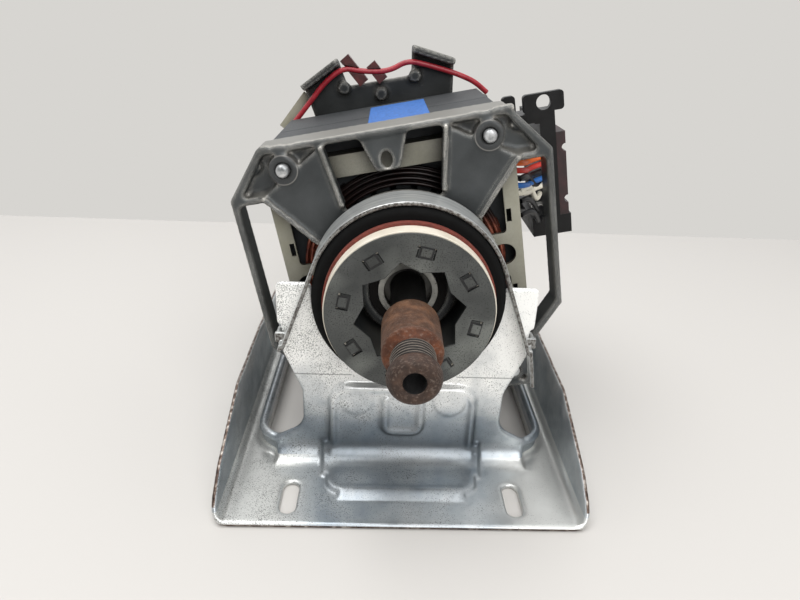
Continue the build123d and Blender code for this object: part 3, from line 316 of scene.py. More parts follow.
def galvanisedDisc():
    material, tree, shader, place = newMaterial("galvanisedDisc", metallic=0.45, roughness=0.5)
    look = discLook
    cloud = addNode(tree, "ShaderNodeTexNoise", {},
                    {"Vector": place, "Scale": look["cloudScale"], "Detail": 3.0})
    broad = addNode(tree, "ShaderNodeTexNoise", {},
                    {"Vector": place, "Scale": look["wipeScale"], "Detail": 2.0})
    stops = ((0.3, look["low"]), (0.7, look["high"]))
    colour = addNode(tree, "ShaderNodeValToRGB", {"stops": stops}, {"Fac": cloud})
    wipe = addNode(tree, "ShaderNodeMapRange", {}, {"Value": broad, "From Min": 0.52, "From Max": 0.66,
                                                    "To Max": 0.6})
    colour = addNode(tree, "ShaderNodeMix", asColour, {0: wipe, 6: colour, 7: look["wipe"]}, out=2)
    grain = addNode(tree, "ShaderNodeTexNoise", {}, {"Vector": place, "Scale": look["speckScale"],
                                                     "Detail": 2.0, "Roughness": 0.6})
    dense = addNode(tree, "ShaderNodeMath", multiplyAdd, {0: cloud, 1: 0.18, 2: grain})
    speck = addNode(tree, "ShaderNodeMapRange", {}, {"Value": dense, "From Min": 0.66, "From Max": 0.72,
                                                     "To Max": 0.75})
    colour = addNode(tree, "ShaderNodeMix", asColour, {0: speck, 6: colour, 7: look["speck"]}, out=2)
    edge = edgeBand(tree, 0.0004)
    colour = addNode(tree, "ShaderNodeMix", asColour, {0: edge, 6: colour, 7: look["edge"]}, out=2)
    finishMaterial(tree, shader, colour, None, cloud, look["relief"], edge=0.0003)
    return material


discZinc = galvanisedDisc()
dress(discZinc, *both("retainer_disc"))


def grainedMaterial(name, low, high, size, roughness, metallic=0.0, depth=0.00005, recess=0.0, gloss=0.5):
    # moulded, turned or wound surfaces: two close tones in a fine grain, with a slight relief
    material, tree, shader, place = newMaterial(name, metallic, roughness)
    shader.inputs["Specular IOR Level"].default_value = gloss
    grain = addNode(tree, "ShaderNodeTexNoise", {}, {"Vector": place, "Scale": 1 / size, "Detail": 4.0})
    colour = addNode(tree, "ShaderNodeValToRGB", {"stops": ((0.3, low), (0.7, high))}, {"Fac": grain})
    rough = addNode(tree, "ShaderNodeMapRange", {}, {"Value": grain, "From Min": 0.3, "From Max": 0.7,
                                                     "To Min": roughness - 0.06, "To Max": roughness + 0.06})
    # painted shade where other surfaces stand close
    if recess:
        colour = darkRecesses(tree, colour, recess, 0.97, 0.95, "#1C1812")
    finishMaterial(tree, shader, colour, rough, grain, depth, edge=0.0003)
    return material


# Moulded and small parts. Each line names the real finish of what it dresses, its two tones and its grain
dress(grainedMaterial("blackRubber", "#020202", "#050505", 0.003, 0.85, depth=0.0001, gloss=0.2),
      *both("mount_ring"))
dress(grainedMaterial("brickRedFibre", "#5A2319", "#783629", 0.0012, 0.75), *both("fibre_ring"))
dress(grainedMaterial("whiteNylon", "#CDC5B4", "#DDD6C8", 0.008, 0.4), *both("spacer_ring"))
dress(grainedMaterial("creamNylon", "#B4B19B", "#D2CFBE", 0.014, 0.42, recess=0.03),
      *both("winding_frame"), "cable_strip")
dress(grainedMaterial("turnedSteel", "#3E3E3C", "#5C5B57", 0.003, 0.4, 0.7),
      *both("bearing"), "governor_carrier", "right_weight", "left_weight")
dress(grainedMaterial("polishedRing", "#8F8F8A", "#BDBDB6", 0.003, 0.32, 0.5, recess=0.007),
      *both("slinger_ring"))
dress(grainedMaterial("oiledFelt", "#0B0A09", "#191613", 0.0008, 0.95, depth=0.0002), *both("felt_ring"))
dress(grainedMaterial("blackNylon", "#030304", "#0B0B0C", 0.003, 0.38, gloss=0.3),
      "switch_housing", "governor_sleeve", "switch_lever")
dress(grainedMaterial("maroonPhenolic", "#1F1011", "#3A1E20", 0.004, 0.5), "terminal_board")
dress(grainedMaterial("tinnedBrass", "#C4C2BC", "#E6E4DF", 0.002, 0.3, 0.6), "spare_blades")
dress(grainedMaterial("darkRedNylon", "#2E0E0D", "#541C18", 0.003, 0.42), "left_clip", "right_clip")
dress(grainedMaterial("blueCrepeTape", "#24538F", "#3B70BC", 0.0011, 0.7, depth=0.00012), "stack_tape")
leadColours = {"yellow": "#E0B01E", "orange": "#D8652C", "red": "#C23A32", "black": "#101012",
               "blue": "#2C66AE", "white": "#DDD8C8"}
for colourName, code in leadColours.items():
    vinyl = grainedMaterial("vinyl" + colourName.capitalize(), code, code, 0.004, 0.38)
    dress(vinyl, "lead_" + colourName)
dress(grainedMaterial("vinylTopRed", "#8A1C26", "#A62A34", 0.004, 0.36), "top_lead")
slotShade = grainedMaterial("slotShade", "#141414", "#242424", 0.001, 0.7)

# Enamelled winding wire: red-brown, darker where the varnish pooled and in the shade behind the shields
copperLook = {"tones": ("#3A1A14", "#7E4030", "#B87058"), "shade": "#0A0808", "poolScale": 260.0,
              "shadeFrom": 0.090, "shadeFull": 0.098, "relief": 0.00006}


def enamelledCopper():
    material, tree, shader, place = newMaterial("enamelledCopper", metallic=0.4, roughness=0.34)
    look = copperLook
    pool = addNode(tree, "ShaderNodeTexNoise", {}, {"Vector": place, "Scale": look["poolScale"],
                                                    "Detail": 4.0, "Roughness": 0.6})
    stops = tuple(zip((0.32, 0.5, 0.7), look["tones"]))
    colour = addNode(tree, "ShaderNodeValToRGB", {"stops": stops}, {"Fac": pool})
    at = addNode(tree, "ShaderNodeSeparateXYZ", {}, {0: place})
    shade = addNode(tree, "ShaderNodeMapRange", {},
                    {"Value": at.node.outputs["Z"], "From Min": look["shadeFrom"],
                     "From Max": look["shadeFull"], "To Max": 0.97})
    colour = addNode(tree, "ShaderNodeMix", asColour, {0: shade, 6: colour, 7: look["shade"]}, out=2)
    finishMaterial(tree, shader, colour, None, pool, look["relief"])
    return material


dress(enamelledCopper(), *both("end_winding"), "coil_sides")

# Die-cast aluminium: dull grey, bright at the edges with wear and a painted highlight, lighter on top as a
# painted reflection of the sky, and dark in its corners with painted shade and grime.
# The bolts' places are in millimetres on the motor body
castLook = {"front": ("#353839", "#494C4D"), "rear": ("#1B1D1D", "#2F3131"), "edge": "#F2EEE4",
            "top": "#83817B", "recess": "#0F0F0F", "recessReach": 0.005, "wear": 0.0021,
            "cloudScale": 70.0, "grainScale": 1400.0, "relief": 0.00025,
            "seat": ((0.40, "#131313"), (0.52, "#333536"), (0.86, "#3E4041"), (0.92, "#8C8A86"),
                     (1.0, "#2A2B2B")), "seatShare": 0.8,
            "seatRadius": 0.0054, "seatRim": 0.0056, "boltAcross": 36.5, "boltUp": 47.5}


def castAluminium(name, tones, roughness, edgeShare):
    material, tree, shader, place = newMaterial(name, metallic=0.45, roughness=roughness)
    look = castLook
    cloud = addNode(tree, "ShaderNodeTexNoise", {},
                    {"Vector": place, "Scale": look["cloudScale"], "Detail": 4.0})
    grain = addNode(tree, "ShaderNodeTexNoise", {},
                    {"Vector": place, "Scale": look["grainScale"], "Detail": 2.0})
    stops = ((0.3, tones[0]), (0.7, tones[1]))
    colour = addNode(tree, "ShaderNodeValToRGB", {"stops": stops}, {"Fac": cloud})
    facing = addNode(tree, "ShaderNodeSeparateXYZ", {},
                     {0: addNode(tree, "ShaderNodeTexCoord", out="Normal")})
    # upward faces lighter: a painted reflection of the sky
    upward = addNode(tree, "ShaderNodeMapRange", {}, {"Value": facing.node.outputs["Z"], "From Min": 0.55,
                                                      "From Max": 0.92, "To Max": edgeShare})
    colour = addNode(tree, "ShaderNodeMix", asColour, {0: upward, 6: colour, 7: look["top"]}, out=2)
    # bright edges: worn metal with a painted highlight
    edgeMark = edgeBand(tree, look["wear"], 0.012, 0.10)
    # painted shade and grime in the corners
    colour = darkRecesses(tree, colour, look["recessReach"], 0.8, 0.7, look["recess"])
    rubbed = addNode(tree, "ShaderNodeMapRange", {}, {"Value": cloud, "From Min": 0.35, "From Max": 0.6,
                                                      "To Min": 0.55, "To Max": 1.0})
    edgeMark = addNode(tree, "ShaderNodeMath", multiply, {0: edgeMark, 1: rubbed})
    edgeMark = addNode(tree, "ShaderNodeMath", multiply, {0: edgeMark, 1: edgeShare})
    colour = addNode(tree, "ShaderNodeMix", asColour, {0: edgeMark, 6: colour, 7: look["edge"]}, out=2)
    # the seats of the upper bolts are machined: painted shadow round the bolt, rubbed at the rim
    for side in (-1, 1):
        axis = tuple(onMotor(side * look["boltAcross"], 0, look["boltUp"]))
        reach = distanceFromAxis(tree, place, axis)
        inward = addNode(tree, "ShaderNodeMapRange", {}, {"Value": reach, "From Max": look["seatRim"]})
        ring = addNode(tree, "ShaderNodeValToRGB", {"stops": look["seat"]}, {"Fac": inward})
        inside = addNode(tree, "ShaderNodeMath", lessThan, {0: reach, 1: look["seatRadius"]})
        inside = addNode(tree, "ShaderNodeMath", multiply, {0: inside, 1: look["seatShare"]})
        colour = addNode(tree, "ShaderNodeMix", asColour, {0: inside, 6: colour, 7: ring}, out=2)
    relief = addNode(tree, "ShaderNodeMath", multiplyAdd, {0: grain, 1: 0.12, 2: cloud})
    finishMaterial(tree, shader, colour, None, relief, look["relief"])
    return material


castSkin = castAluminium("dieCastAluminium", castLook["front"], 0.46, 0.9)
# a darker copy for the rear shield and the fans: painted shade, with dirt
shadedDirtyCastSkin = castAluminium("dieCastAluminiumShadedDirty", castLook["rear"], 0.55, 0.6)
dress(castSkin, "front_end_shield")
dress(shadedDirtyCastSkin, "rear_end_shield", *both("rotor_fan"))

# Bolts: zinc plate gone dull and spotty
boltLook = {"low": "#7E8182", "high": "#C9CACA", "spotScale": 500.0, "relief": 0.00008}


def boltZinc():
    material, tree, shader, place = newMaterial("dulledZincBolt", metallic=0.7, roughness=0.38)
    spot = addNode(tree, "ShaderNodeTexNoise", {},
                   {"Vector": place, "Scale": boltLook["spotScale"], "Detail": 3.0})
    stops = ((0.35, boltLook["low"]), (0.62, boltLook["high"]))
    colour = addNode(tree, "ShaderNodeValToRGB", {"stops": stops}, {"Fac": spot})
    finishMaterial(tree, shader, colour, None, spot, boltLook["relief"], edge=0.0003)
    return material


boltSkin = boltZinc()
dress(boltSkin, "through_bolts", "bolt_nuts")

# Laminated steel: 0.5 mm sheets, drawn 0.8 mm so that they show, dark at the rubbed edges
stackLook = {"low": "#2E3133", "high": "#3C3F41", "line": "#2A2B2C", "edge": "#2C2D2E", "sheet": 0.0008,
             "cloudScale": 60.0, "relief": 0.00006}


def laminatedSteel():
    material, tree, shader, place = newMaterial("laminatedSteel", metallic=0.12, roughness=0.58)
    look = stackLook
    at = addNode(tree, "ShaderNodeSeparateXYZ", {}, {0: place})
    half = look["sheet"] / 2
    sheet = addNode(tree, "ShaderNodeMath", {"operation": "PINGPONG"}, {0: at.node.outputs["Y"], 1: half})
    sheet = addNode(tree, "ShaderNodeMath", multiply, {0: sheet, 1: 1 / half})
    cloud = addNode(tree, "ShaderNodeTexNoise", {},
                    {"Vector": place, "Scale": look["cloudScale"], "Detail": 3.0})
    stops = ((0.3, look["low"]), (0.7, look["high"]))
    colour = addNode(tree, "ShaderNodeValToRGB", {"stops": stops}, {"Fac": cloud})
    line = addNode(tree, "ShaderNodeMapRange", {},
                   {"Value": sheet, "From Max": 0.5, "To Min": 0.35, "To Max": 0.0})
    colour = addNode(tree, "ShaderNodeMix", asColour, {0: line, 6: colour, 7: look["line"]}, out=2)
    edgeMark = edgeBand(tree, 0.0006)
    colour = addNode(tree, "ShaderNodeMix", asColour, {0: edgeMark, 6: colour, 7: look["edge"]}, out=2)
    finishMaterial(tree, shader, colour, None, sheet, look["relief"], edge=0.0004)
    return material


dress(laminatedSteel(), "stator_core", "rotor_core")

# Rusted steel shaft: brown on the collar, orange in the groove, worn grey at the tip; painted highlights on
# the thread crests, painted shade in the thread roots, on the neck and in the drilled hole
rustLook = {"along": ((0.0, "#46342A"), (0.10, "#422E24"), (0.112, "#3A312B"), (0.36, "#483A31"),
                      (0.372, "#743A1B"), (0.40, "#683D24"), (0.42, "#624432"), (0.80, "#694A35"),
                      (0.92, "#75573F")),
            "blotch": ((0.36, "#33231B"), (0.50, "#827A74"), (0.66, "#CFC9C2")), "fleck": "#A08E80",
            "crest": ((0.0, "#090706"), (0.6, "#15110F"), (0.85, "#2A2420"), (0.97, "#7C7268")),
            "neck": "#0A0807", "hole": "#070606", "blotchScale": 230.0, "turningScale": 900.0,
            "tip": -0.0366, "collarEnd": 0.0034, "threadMiddle": -0.0271, "threadHalf": 0.0051,
            "root": 0.0061, "crestRadius": 0.0068, "neckRadius": 0.0088, "holeRadius": 0.00335,
            "neckMiddle": 0.0405, "neckHalf": 0.0395, "relief": 0.00028}


def rustedSteel():
    material, tree, shader, place = newMaterial("rustedSteel", metallic=0.25, roughness=0.6)
    look = rustLook
    at = addNode(tree, "ShaderNodeSeparateXYZ", {}, {0: place})
    depth = at.node.outputs["Y"]
    along = addNode(tree, "ShaderNodeMapRange", {}, {"Value": depth, "From Min": look["tip"],
                                                     "From Max": look["collarEnd"]})
    blotch = addNode(tree, "ShaderNodeTexNoise", {}, {"Vector": place, "Scale": look["blotchScale"],
                                                      "Detail": 5.0, "Roughness": 0.65})
    stretched = addNode(tree, "ShaderNodeMapping", {}, {"Vector": place, "Scale": (1.0, 3.5, 1.0)})
    turning = addNode(tree, "ShaderNodeTexNoise", {}, {"Vector": stretched, "Scale": look["turningScale"],
                                                       "Detail": 4.0, "Roughness": 0.65})
    base = addNode(tree, "ShaderNodeValToRGB", {"stops": look["along"]}, {"Fac": along})
    dark = addNode(tree, "ShaderNodeValToRGB", {"stops": look["blotch"]}, {"Fac": blotch})
    overlay = {"data_type": "RGBA", "blend_type": "OVERLAY"}
    colour = addNode(tree, "ShaderNodeMix", overlay, {0: 0.62, 6: base, 7: dark}, out=2)
    fleck = addNode(tree, "ShaderNodeMapRange", {}, {"Value": turning, "From Min": 0.52, "From Max": 0.70,
                                                     "To Max": 0.30})
    colour = addNode(tree, "ShaderNodeMix", asColour, {0: fleck, 6: colour, 7: look["fleck"]}, out=2)
    # distance from the axis tells thread crests from roots, and the drilled hole from the tip
    reach = distanceFromAxis(tree, place, (0.0, 0.0, shaftHeight))
    # painted highlight on the thread crests, painted shade in the roots
    rise = addNode(tree, "ShaderNodeMapRange", {}, {"Value": reach, "From Min": look["root"],
                                                    "From Max": look["crestRadius"]})
    crest = addNode(tree, "ShaderNodeValToRGB", {"stops": look["crest"]}, {"Fac": rise})
    threaded = addNode(tree, "ShaderNodeMath", compare,
                       {0: depth, 1: look["threadMiddle"], 2: look["threadHalf"]})
    threaded = addNode(tree, "ShaderNodeMath", multiply, {0: threaded, 1: 0.92})
    colour = addNode(tree, "ShaderNodeMix", asColour, {0: threaded, 6: colour, 7: crest}, out=2)
    # painted shadow on the neck behind the collar
    neck = addNode(tree, "ShaderNodeMath", compare, {0: depth, 1: look["neckMiddle"], 2: look["neckHalf"]})
    slim = addNode(tree, "ShaderNodeMath", lessThan, {0: reach, 1: look["neckRadius"]})
    neck = addNode(tree, "ShaderNodeMath", multiply, {0: neck, 1: slim})
    colour = addNode(tree, "ShaderNodeMix", asColour, {0: neck, 6: colour, 7: look["neck"]}, out=2)
    # painted shade inside the drilled hole
    hole = addNode(tree, "ShaderNodeMath", lessThan, {0: reach, 1: look["holeRadius"]})
    colour = addNode(tree, "ShaderNodeMix", asColour, {0: hole, 6: colour, 7: look["hole"]}, out=2)
    relief = addNode(tree, "ShaderNodeMath", multiplyAdd, {0: turning, 1: 0.7, 2: blotch})
    finishMaterial(tree, shader, colour, None, relief, look["relief"])
    return material


rust = rustedSteel()
dress(rust, "shaft")
print("stage: materials made")


# Shaft: drilled tip, cut thread, groove and thick collar, turned as one form with a true helix.
# Each row is a place and a radius: the nose's are measured from the tip, the end's from the rear face,
# and the others are places along y
shaftLook = {"pitch": 0.00145, "crest": 0.0068, "root": 0.0061, "noseLength": 0.0042, "threadRear": -0.0219,
             "around": 96, "step": 0.00022, "fade": 0.0006,
             "nose": ((0.009, 0.0), (0.0088, 0.0031), (0.0007, 0.0032), (0.0001, 0.0037), (0.0, 0.0041),
                      (0.0, 0.0056), (0.0002, 0.0063), (0.0008, 0.0070), (0.0017, 0.0076), (0.0028, 0.0079),
                      (0.0037, 0.0079), (0.0040, 0.0077)),
             "collar": ((-0.0218, 0.0062), (-0.0209, 0.0062), (-0.0208, 0.0086), (-0.0203, 0.0092),
                        (-0.0195, 0.0094), (-0.0187, 0.0092), (-0.0170, 0.0093), (-0.0150, 0.0094),
                        (-0.0040, 0.0094), (-0.0016, 0.0093), (0.0002, 0.0085), (0.0011, 0.0070)),
             "neck": ((0.0012, 0.0065), (0.0014, 0.00635), (0.1596, 0.00635), (0.1597, 0.0060)),
             "end": ((-0.0008, 0.0060), (0.0, 0.0052), (0.0, 0.0))}


def makeShaft():
    look = shaftLook
    low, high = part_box("shaft")
    front, rear = low[1], high[1]
    threadFront = front + look["noseLength"]
    profile = [(front + along, radius) for along, radius in look["nose"]]
    count = int((look["threadRear"] - threadFront) / look["step"])
    profile += [(threadFront + i * look["step"], None) for i in range(count + 1)]
    profile += look["collar"] + look["neck"]
    profile += [(rear + along, radius) for along, radius in look["end"]]
    form = bmesh.new()
    rings = []
    for y, radius in profile:
        ring = []
        for i in range(look["around"]):
            share = i / look["around"]
            reach = radius
            if radius is None:
                phase = ((y - threadFront) / look["pitch"] - share) % 1.0
                rise = max(0.0, min(1.0, 1.25 - abs(3 * phase - 1.5)))
                runOut = max(0.0, min(1.0, (y - threadFront) / look["fade"],
                                      (look["threadRear"] - y) / look["fade"]))
                reach = look["root"] + (look["crest"] - look["root"]) * rise * runOut
            angle = 2 * math.pi * share
            ring.append(form.verts.new((reach * math.cos(angle), y, shaftHeight + reach * math.sin(angle))))
        rings.append(ring)
    for first, second in zip(rings, rings[1:]):
        for i in range(look["around"]):
            j = (i + 1) % look["around"]
            form.faces.new((first[i], first[j], second[j], second[i]))
    bmesh.ops.remove_doubles(form, verts=form.verts, dist=1e-7)
    bmesh.ops.recalc_face_normals(form, faces=form.faces)
    mesh = bpy.data.meshes.new("rustedShaft")
    form.to_mesh(mesh)
    form.free()
    for polygon in mesh.polygons:
        polygon.use_smooth = True
    newPiece("rustedShaft", mesh, rust, "rotor", replaced="shaft")


makeShaft()
print("stage: shaft turned")


def addTube(form, points, radius, around=10):
    # closed tube along straight runs, its ends capped
    rings = []
    for i, point in enumerate(points):
        ahead = (points[min(i + 1, len(points) - 1)] - points[max(i - 1, 0)]).normalized()
        side = ahead.orthogonal().normalized() if i == 0 else (side - ahead * side.dot(ahead)).normalized()
        over = ahead.cross(side)
        rings.append([form.verts.new(point + radius * (math.cos(a) * side + math.sin(a) * over))
                      for a in (2 * math.pi * j / around for j in range(around))])
    for first, second in zip(rings, rings[1:]):
        for j in range(around):
            k = (j + 1) % around
            form.faces.new((first[j], first[k], second[k], second[j]))
    form.faces.new(rings[0][::-1])
    form.faces.new(rings[-1])


def addPrism(form, outline, shift):
    # closed prism from an outline moved along shift
    first = [form.verts.new(point) for point in outline]
    second = [form.verts.new(point + shift) for point in outline]
    for i in range(len(outline)):
        j = (i + 1) % len(outline)
        form.faces.new((first[i], first[j], second[j], second[i]))
    form.faces.new(first[::-1])
    form.faces.new(second)


def arc(centre, radius, start, end, steps):
    # places on a circle in two coordinates, from one angle in degrees to another
    angles = [math.radians(start + (end - start) * i / steps) for i in range(steps + 1)]
    return [(centre[0] + radius * math.cos(a), centre[1] + radius * math.sin(a)) for a in angles]


# Fine skins over CAD parts and their added forms, every edge rounded as pressing or casting leaves it:
# voxel size, rounds of smoothing and the share of faces kept
skinLook = {"base_bracket": (0.0007, 8, 0.42), "front_end_shield": (0.0007, 4, 0.5),
            "rear_end_shield": (0.0008, 4, 0.45), "front_mount_clamp": (0.0004, 3, 0.7),
            "rear_mount_clamp": (0.0004, 3, 0.7), "through_bolts": (0.0003, 10, 0.35)}


def softSkin(node, name, extras, material):
    voxel, rounds, keep = skinLook[node]
    form = bmesh.new()
    form.from_mesh(nodes[node].data)
    bmesh.ops.remove_doubles(form, verts=form.verts, dist=1e-6)
    if extras:
        fresh = bmesh.new()
        extras(fresh)
        bmesh.ops.recalc_face_normals(fresh, faces=fresh.faces)
        added = bpy.data.meshes.new("added")
        fresh.to_mesh(added)
        fresh.free()
        form.from_mesh(added)
        bpy.data.meshes.remove(added)
    mesh = bpy.data.meshes.new(name + "Rough")
    form.to_mesh(mesh)
    form.free()
    rough = bpy.data.objects.new(name + "Rough", mesh)
    remesh = rough.modifiers.new("skin", "REMESH")
    remesh.mode = "VOXEL"
    remesh.voxel_size = voxel
    smooth = rough.modifiers.new("round", "SMOOTH")
    smooth.factor = 0.5
    smooth.iterations = rounds
    thin = rough.modifiers.new("thin", "DECIMATE")
    thin.ratio = keep
    skin = bakedMesh(rough)
    for polygon in skin.polygons:
        polygon.use_smooth = True
    newPiece(name, skin, material, "frame", replaced=node)
    print("skin:", name, len(skin.polygons), "faces")


# Bracket: the pressed sheet with its rolled bends, ridged panel, rounded trough and rolled opening
bracketLook = {"uprightFront": 0.0236, "sheet": 0.002, "emboss": 0.002, "panelHalf": 0.0285,
               "panelTop": 0.037, "footHalf": 0.0495, "footRound": 0.0085, "bury": 0.001,
               "ridge": 0.0011, "ridgeInset": 0.0016, "ridgeCorner": 0.0068, "ridgeFoot": 0.009,
               "bossRidge": 0.0015, "bossHalf": 0.0068, "bossLow": 0.0165, "bossRound": 0.003,
               "bossOpen": 0.003, "bossBack": 0.0004, "troughFront": 0.0021, "troughHalf": 0.0235,
               "troughSlope": ((0.002, -0.001), (0.002, 0.0023), (0.0006, 0.0023), (-0.0016, 0.0014),
                               (-0.0034, 0.0004), (-0.0044, -0.001)),
               "lip": 0.0019, "lipSide": 0.0460, "lipRound": 0.0110, "lipHeight": 0.0094,
               "lipFront": 0.0120, "lipStart": (0.0485, 0.0010, 0.0092),
               "tuck": 0.0013, "tuckPath": ((0.0302, 0.0012, 0.010), (0.0302, -0.0002, 0.006),
                                            (0.0298, -0.0045, 0.0032), (0.0296, -0.010, 0.0022))}


def footForms(form, mapped):
    # concave bend where the upright leaves the pan, beside the panel and across it
    look = bracketLook
    reach, bury = look["footRound"], look["bury"]
    for half, forward in ((look["footHalf"], 0.0), (look["panelHalf"], look["emboss"])):
        front, floor = look["uprightFront"] - forward, look["sheet"] + forward
        section = [(front + bury, floor - bury), (front + bury, floor + reach)]
        section += arc((front - reach, floor + reach), reach, 0, -90, 8)
        section.append((front - reach, floor - bury))
        addPrism(form, [mapped(-half, y, z) for y, z in section], Vector((2 * half, 0, 0)))


def panelForms(form, mapped):
    # ridges round the panel and round the boss in it
    look = bracketLook
    face = look["uprightFront"] - look["emboss"]
    inset = look["panelHalf"] - look["ridgeInset"]
    top = look["panelTop"] - look["ridgeInset"]
    corner = look["ridgeCorner"]
    path = [(-inset, look["ridgeFoot"])] + arc((corner - inset, top - corner), corner, 180, 90, 6)
    path += arc((inset - corner, top - corner), corner, 90, 0, 6) + [(inset, look["ridgeFoot"])]
    addTube(form, [mapped(x, face, z) for x, z in path], look["ridge"])
    half, low, corner = look["bossHalf"], look["bossLow"], look["bossRound"]
    path = [(-half, top - look["bossOpen"])] + arc((corner - half, low + corner), corner, 180, 270, 4)
    path += arc((half - corner, low + corner), corner, 270, 360, 4)
    path.append((half, top - look["bossOpen"]))
    addTube(form, [mapped(x, face - look["bossBack"], z) for x, z in path], look["bossRidge"])


def troughForms(form, mapped):
    # the trough's front runs down to the pan in a slope, and a rolled lip follows the opening's sides
    look = bracketLook
    edge, half = look["troughFront"], look["troughHalf"]
    section = [(edge + y, look["sheet"] + z) for y, z in look["troughSlope"]]
    addPrism(form, [mapped(-half, y, z) for y, z in section], Vector((2 * half, 0, 0)))
    front, turn, height = look["uprightFront"], look["lipRound"], look["lipHeight"]
    startX, startY, startZ = look["lipStart"]
    for side in (-1, 1):
        path = [mapped(side * startX, front + startY, startZ)]
        for x, y in arc((look["lipSide"], front + look["lipFront"]), turn, -90, 0, 6):
            path.append(mapped(side * x, y, height))
        path.append(mapped(side * (look["lipSide"] + turn), middle + 0.002, height))
        addTube(form, path, look["lip"])


def tuckForms(form, mapped):
    # short tucks in the sheet beside the panel's foot
    face = bracketLook["uprightFront"] - bracketLook["emboss"]
    for side in (-1, 1):
        path = [mapped(side * x, face + y, z) for x, y, z in bracketLook["tuckPath"]]
        addTube(form, path, bracketLook["tuck"])


def bracketForms(form):
    for rear in (False, True):
        def mapped(x, y, z):
            return Vector((x, 2 * middle - y if rear else y, z))
        footForms(form, mapped)
        panelForms(form, mapped)
        troughForms(form, mapped)
        tuckForms(form, mapped)


# Shields: low lumps along the front one's upper edge, shoulders and knobs, and a bead on the rear bridge.
# Lumps are places across, with their radii in millimetres
shieldLook = {"lumps": ((-43.0, 1.5), (-38.5, 1.1), (-30.0, 0.9), (31.0, 1.0), (38.0, 1.4), (42.5, 1.5)),
              "lumpLength": 3.2, "lumpDepth": 34.2, "lumpUp": 55.4,
              "shoulder": ((40.0, 38.0, 41.5), (45.0, 37.0, 38.6), (50.0, 36.5, 38.2)),
              "shoulderRadius": 0.0021, "knobRadius": 0.0017,
              "knob": ((45.5, 37.8, 49.6), (45.5, 35.0, 49.6)),
              "bead": ((-16.0, 112.0, 63.9), (16.0, 112.0, 63.9)), "beadRadius": 0.0009}


def frontShieldForms(form):
    look = shieldLook
    for x, radius in look["lumps"]:
        ends = [onMotor(x + shift, look["lumpDepth"], look["lumpUp"]) for shift in (0, look["lumpLength"])]
        addTube(form, ends, radius / 1000)
    for side in (-1, 1):
        addTube(form, [onMotor(side * x, y, z) for x, y, z in look["shoulder"]], look["shoulderRadius"])
        addTube(form, [onMotor(side * x, y, z) for x, y, z in look["knob"]], look["knobRadius"])


def rearShieldForms(form):
    addTube(form, [onMotor(*place) for place in shieldLook["bead"]], shieldLook["beadRadius"])


# Mount clamps: rolled ribs along the band, and a tail below each hook, from its top to its foot
clampLook = {"ribs": ((11.7, 0.32), (18.4, 0.3), (25.2, 0.35)), "ribReach": 0.0353,
             "ribFrom": 30, "ribTo": 150,
             "tails": (((-0.0453, 0.0560), (-0.0460, 0.0535)), ((0.0453, 0.0560), (0.0479, 0.0406))),
             "tailDepth": 14.2, "tailHalf": (0.0007, 0.003)}


def clampForms(rear):
    look = clampLook

    def depth(along):
        return discPlane + (motorLength - along if rear else along) / 1000

    def forms(form):
        for along, radius in look["ribs"]:
            ring = arc((0.0, shaftHeight), look["ribReach"], look["ribFrom"], look["ribTo"], 40)
            addTube(form, [Vector((x, depth(along), z)) for x, z in ring], radius / 1000)
        halfX, halfY = look["tailHalf"]
        y = depth(look["tailDepth"])
        for top, foot in look["tails"]:
            corners = ((-halfX, -halfY), (halfX, -halfY), (halfX, halfY), (-halfX, halfY))
            outline = [Vector((top[0] + dx, y + dy, top[1])) for dx, dy in corners]
            addPrism(form, outline, Vector((foot[0] - top[0], 0, foot[1] - top[1])))
    return forms


softSkin("base_bracket", "pressedBracket", bracketForms, bracketZinc)
softSkin("front_end_shield", "castFrontShield", frontShieldForms, castSkin)
softSkin("rear_end_shield", "castRearShield", rearShieldForms, shadedDirtyCastSkin)
softSkin("front_mount_clamp", "frontStrap", clampForms(False), strapZinc)
softSkin("rear_mount_clamp", "rearStrap", clampForms(True), strapZinc)
softSkin("through_bolts", "tieBolts", None, boltSkin)
print("stage: skins made")


# Loose loops of the switch wiring between the windings and the terminals. Each wire has its colour,
# where it starts and ends up the motor, and how far it bulges, in millimetres
loopLook = {"radius": 0.0011, "wires": (("black", 27.0, 20.0, 3.0), ("white", 22.0, 15.0, 4.2),
                                        ("black", 18.0, 9.0, 2.6), ("yellow", 33.5, 38.0, 3.6),
                                        ("black", 12.0, 5.0, 3.8))}


def makeLoop(number, tone, start, end, bulge):
    data = bpy.data.curves.new("loop", "CURVE")
    data.dimensions = "3D"
    data.bevel_depth = loopLook["radius"]
    data.bevel_resolution = 3
    data.resolution_u = 6
    centre = (start + end) / 2
    # each wire lies a little behind and outside the one before
    route = [(47.6, 46.0 + 0.6 * number, start), (50.2, 47.5 + 0.6 * number, start + 0.5),
             (52.4 + 0.3 * number, 52.0, centre + bulge), (54.6 + 0.3 * number, 57.0, centre - bulge),
             (57.0, 60.0 + 0.4 * number, end - 1.0), (58.4, 63.5, end)]
    spline = data.splines.new("NURBS")
    spline.points.add(len(route) - 1)
    for point, place in zip(spline.points, route):
        point.co = (*onMotor(*place), 1.0)
    spline.order_u = 4
    spline.use_endpoint_u = True
    mesh = bakedMesh(bpy.data.objects.new("loopRough", data))
    insulation = nodes["lead_" + tone].data.materials[0]
    newPiece("switchLoop%d" % (number + 1), mesh, insulation, "frame")


for number, wire in enumerate(loopLook["wires"]):
    makeLoop(number, *wire)
print("stage: switch wiring")


# Bent tongues of the retainer discs, each over a thin dark plate that paints the shade in its slot. A tongue
# is a plate bent up at its outer end
tongueLook = {"count": 8, "reach": 0.0225, "first": 34.0, "wide": 0.0040, "long": 0.0046, "thick": 0.00012,
              "wideShare": 0.74, "longShare": 0.76, "shiftShare": 0.05, "near": 0.00013, "far": 0.00055}


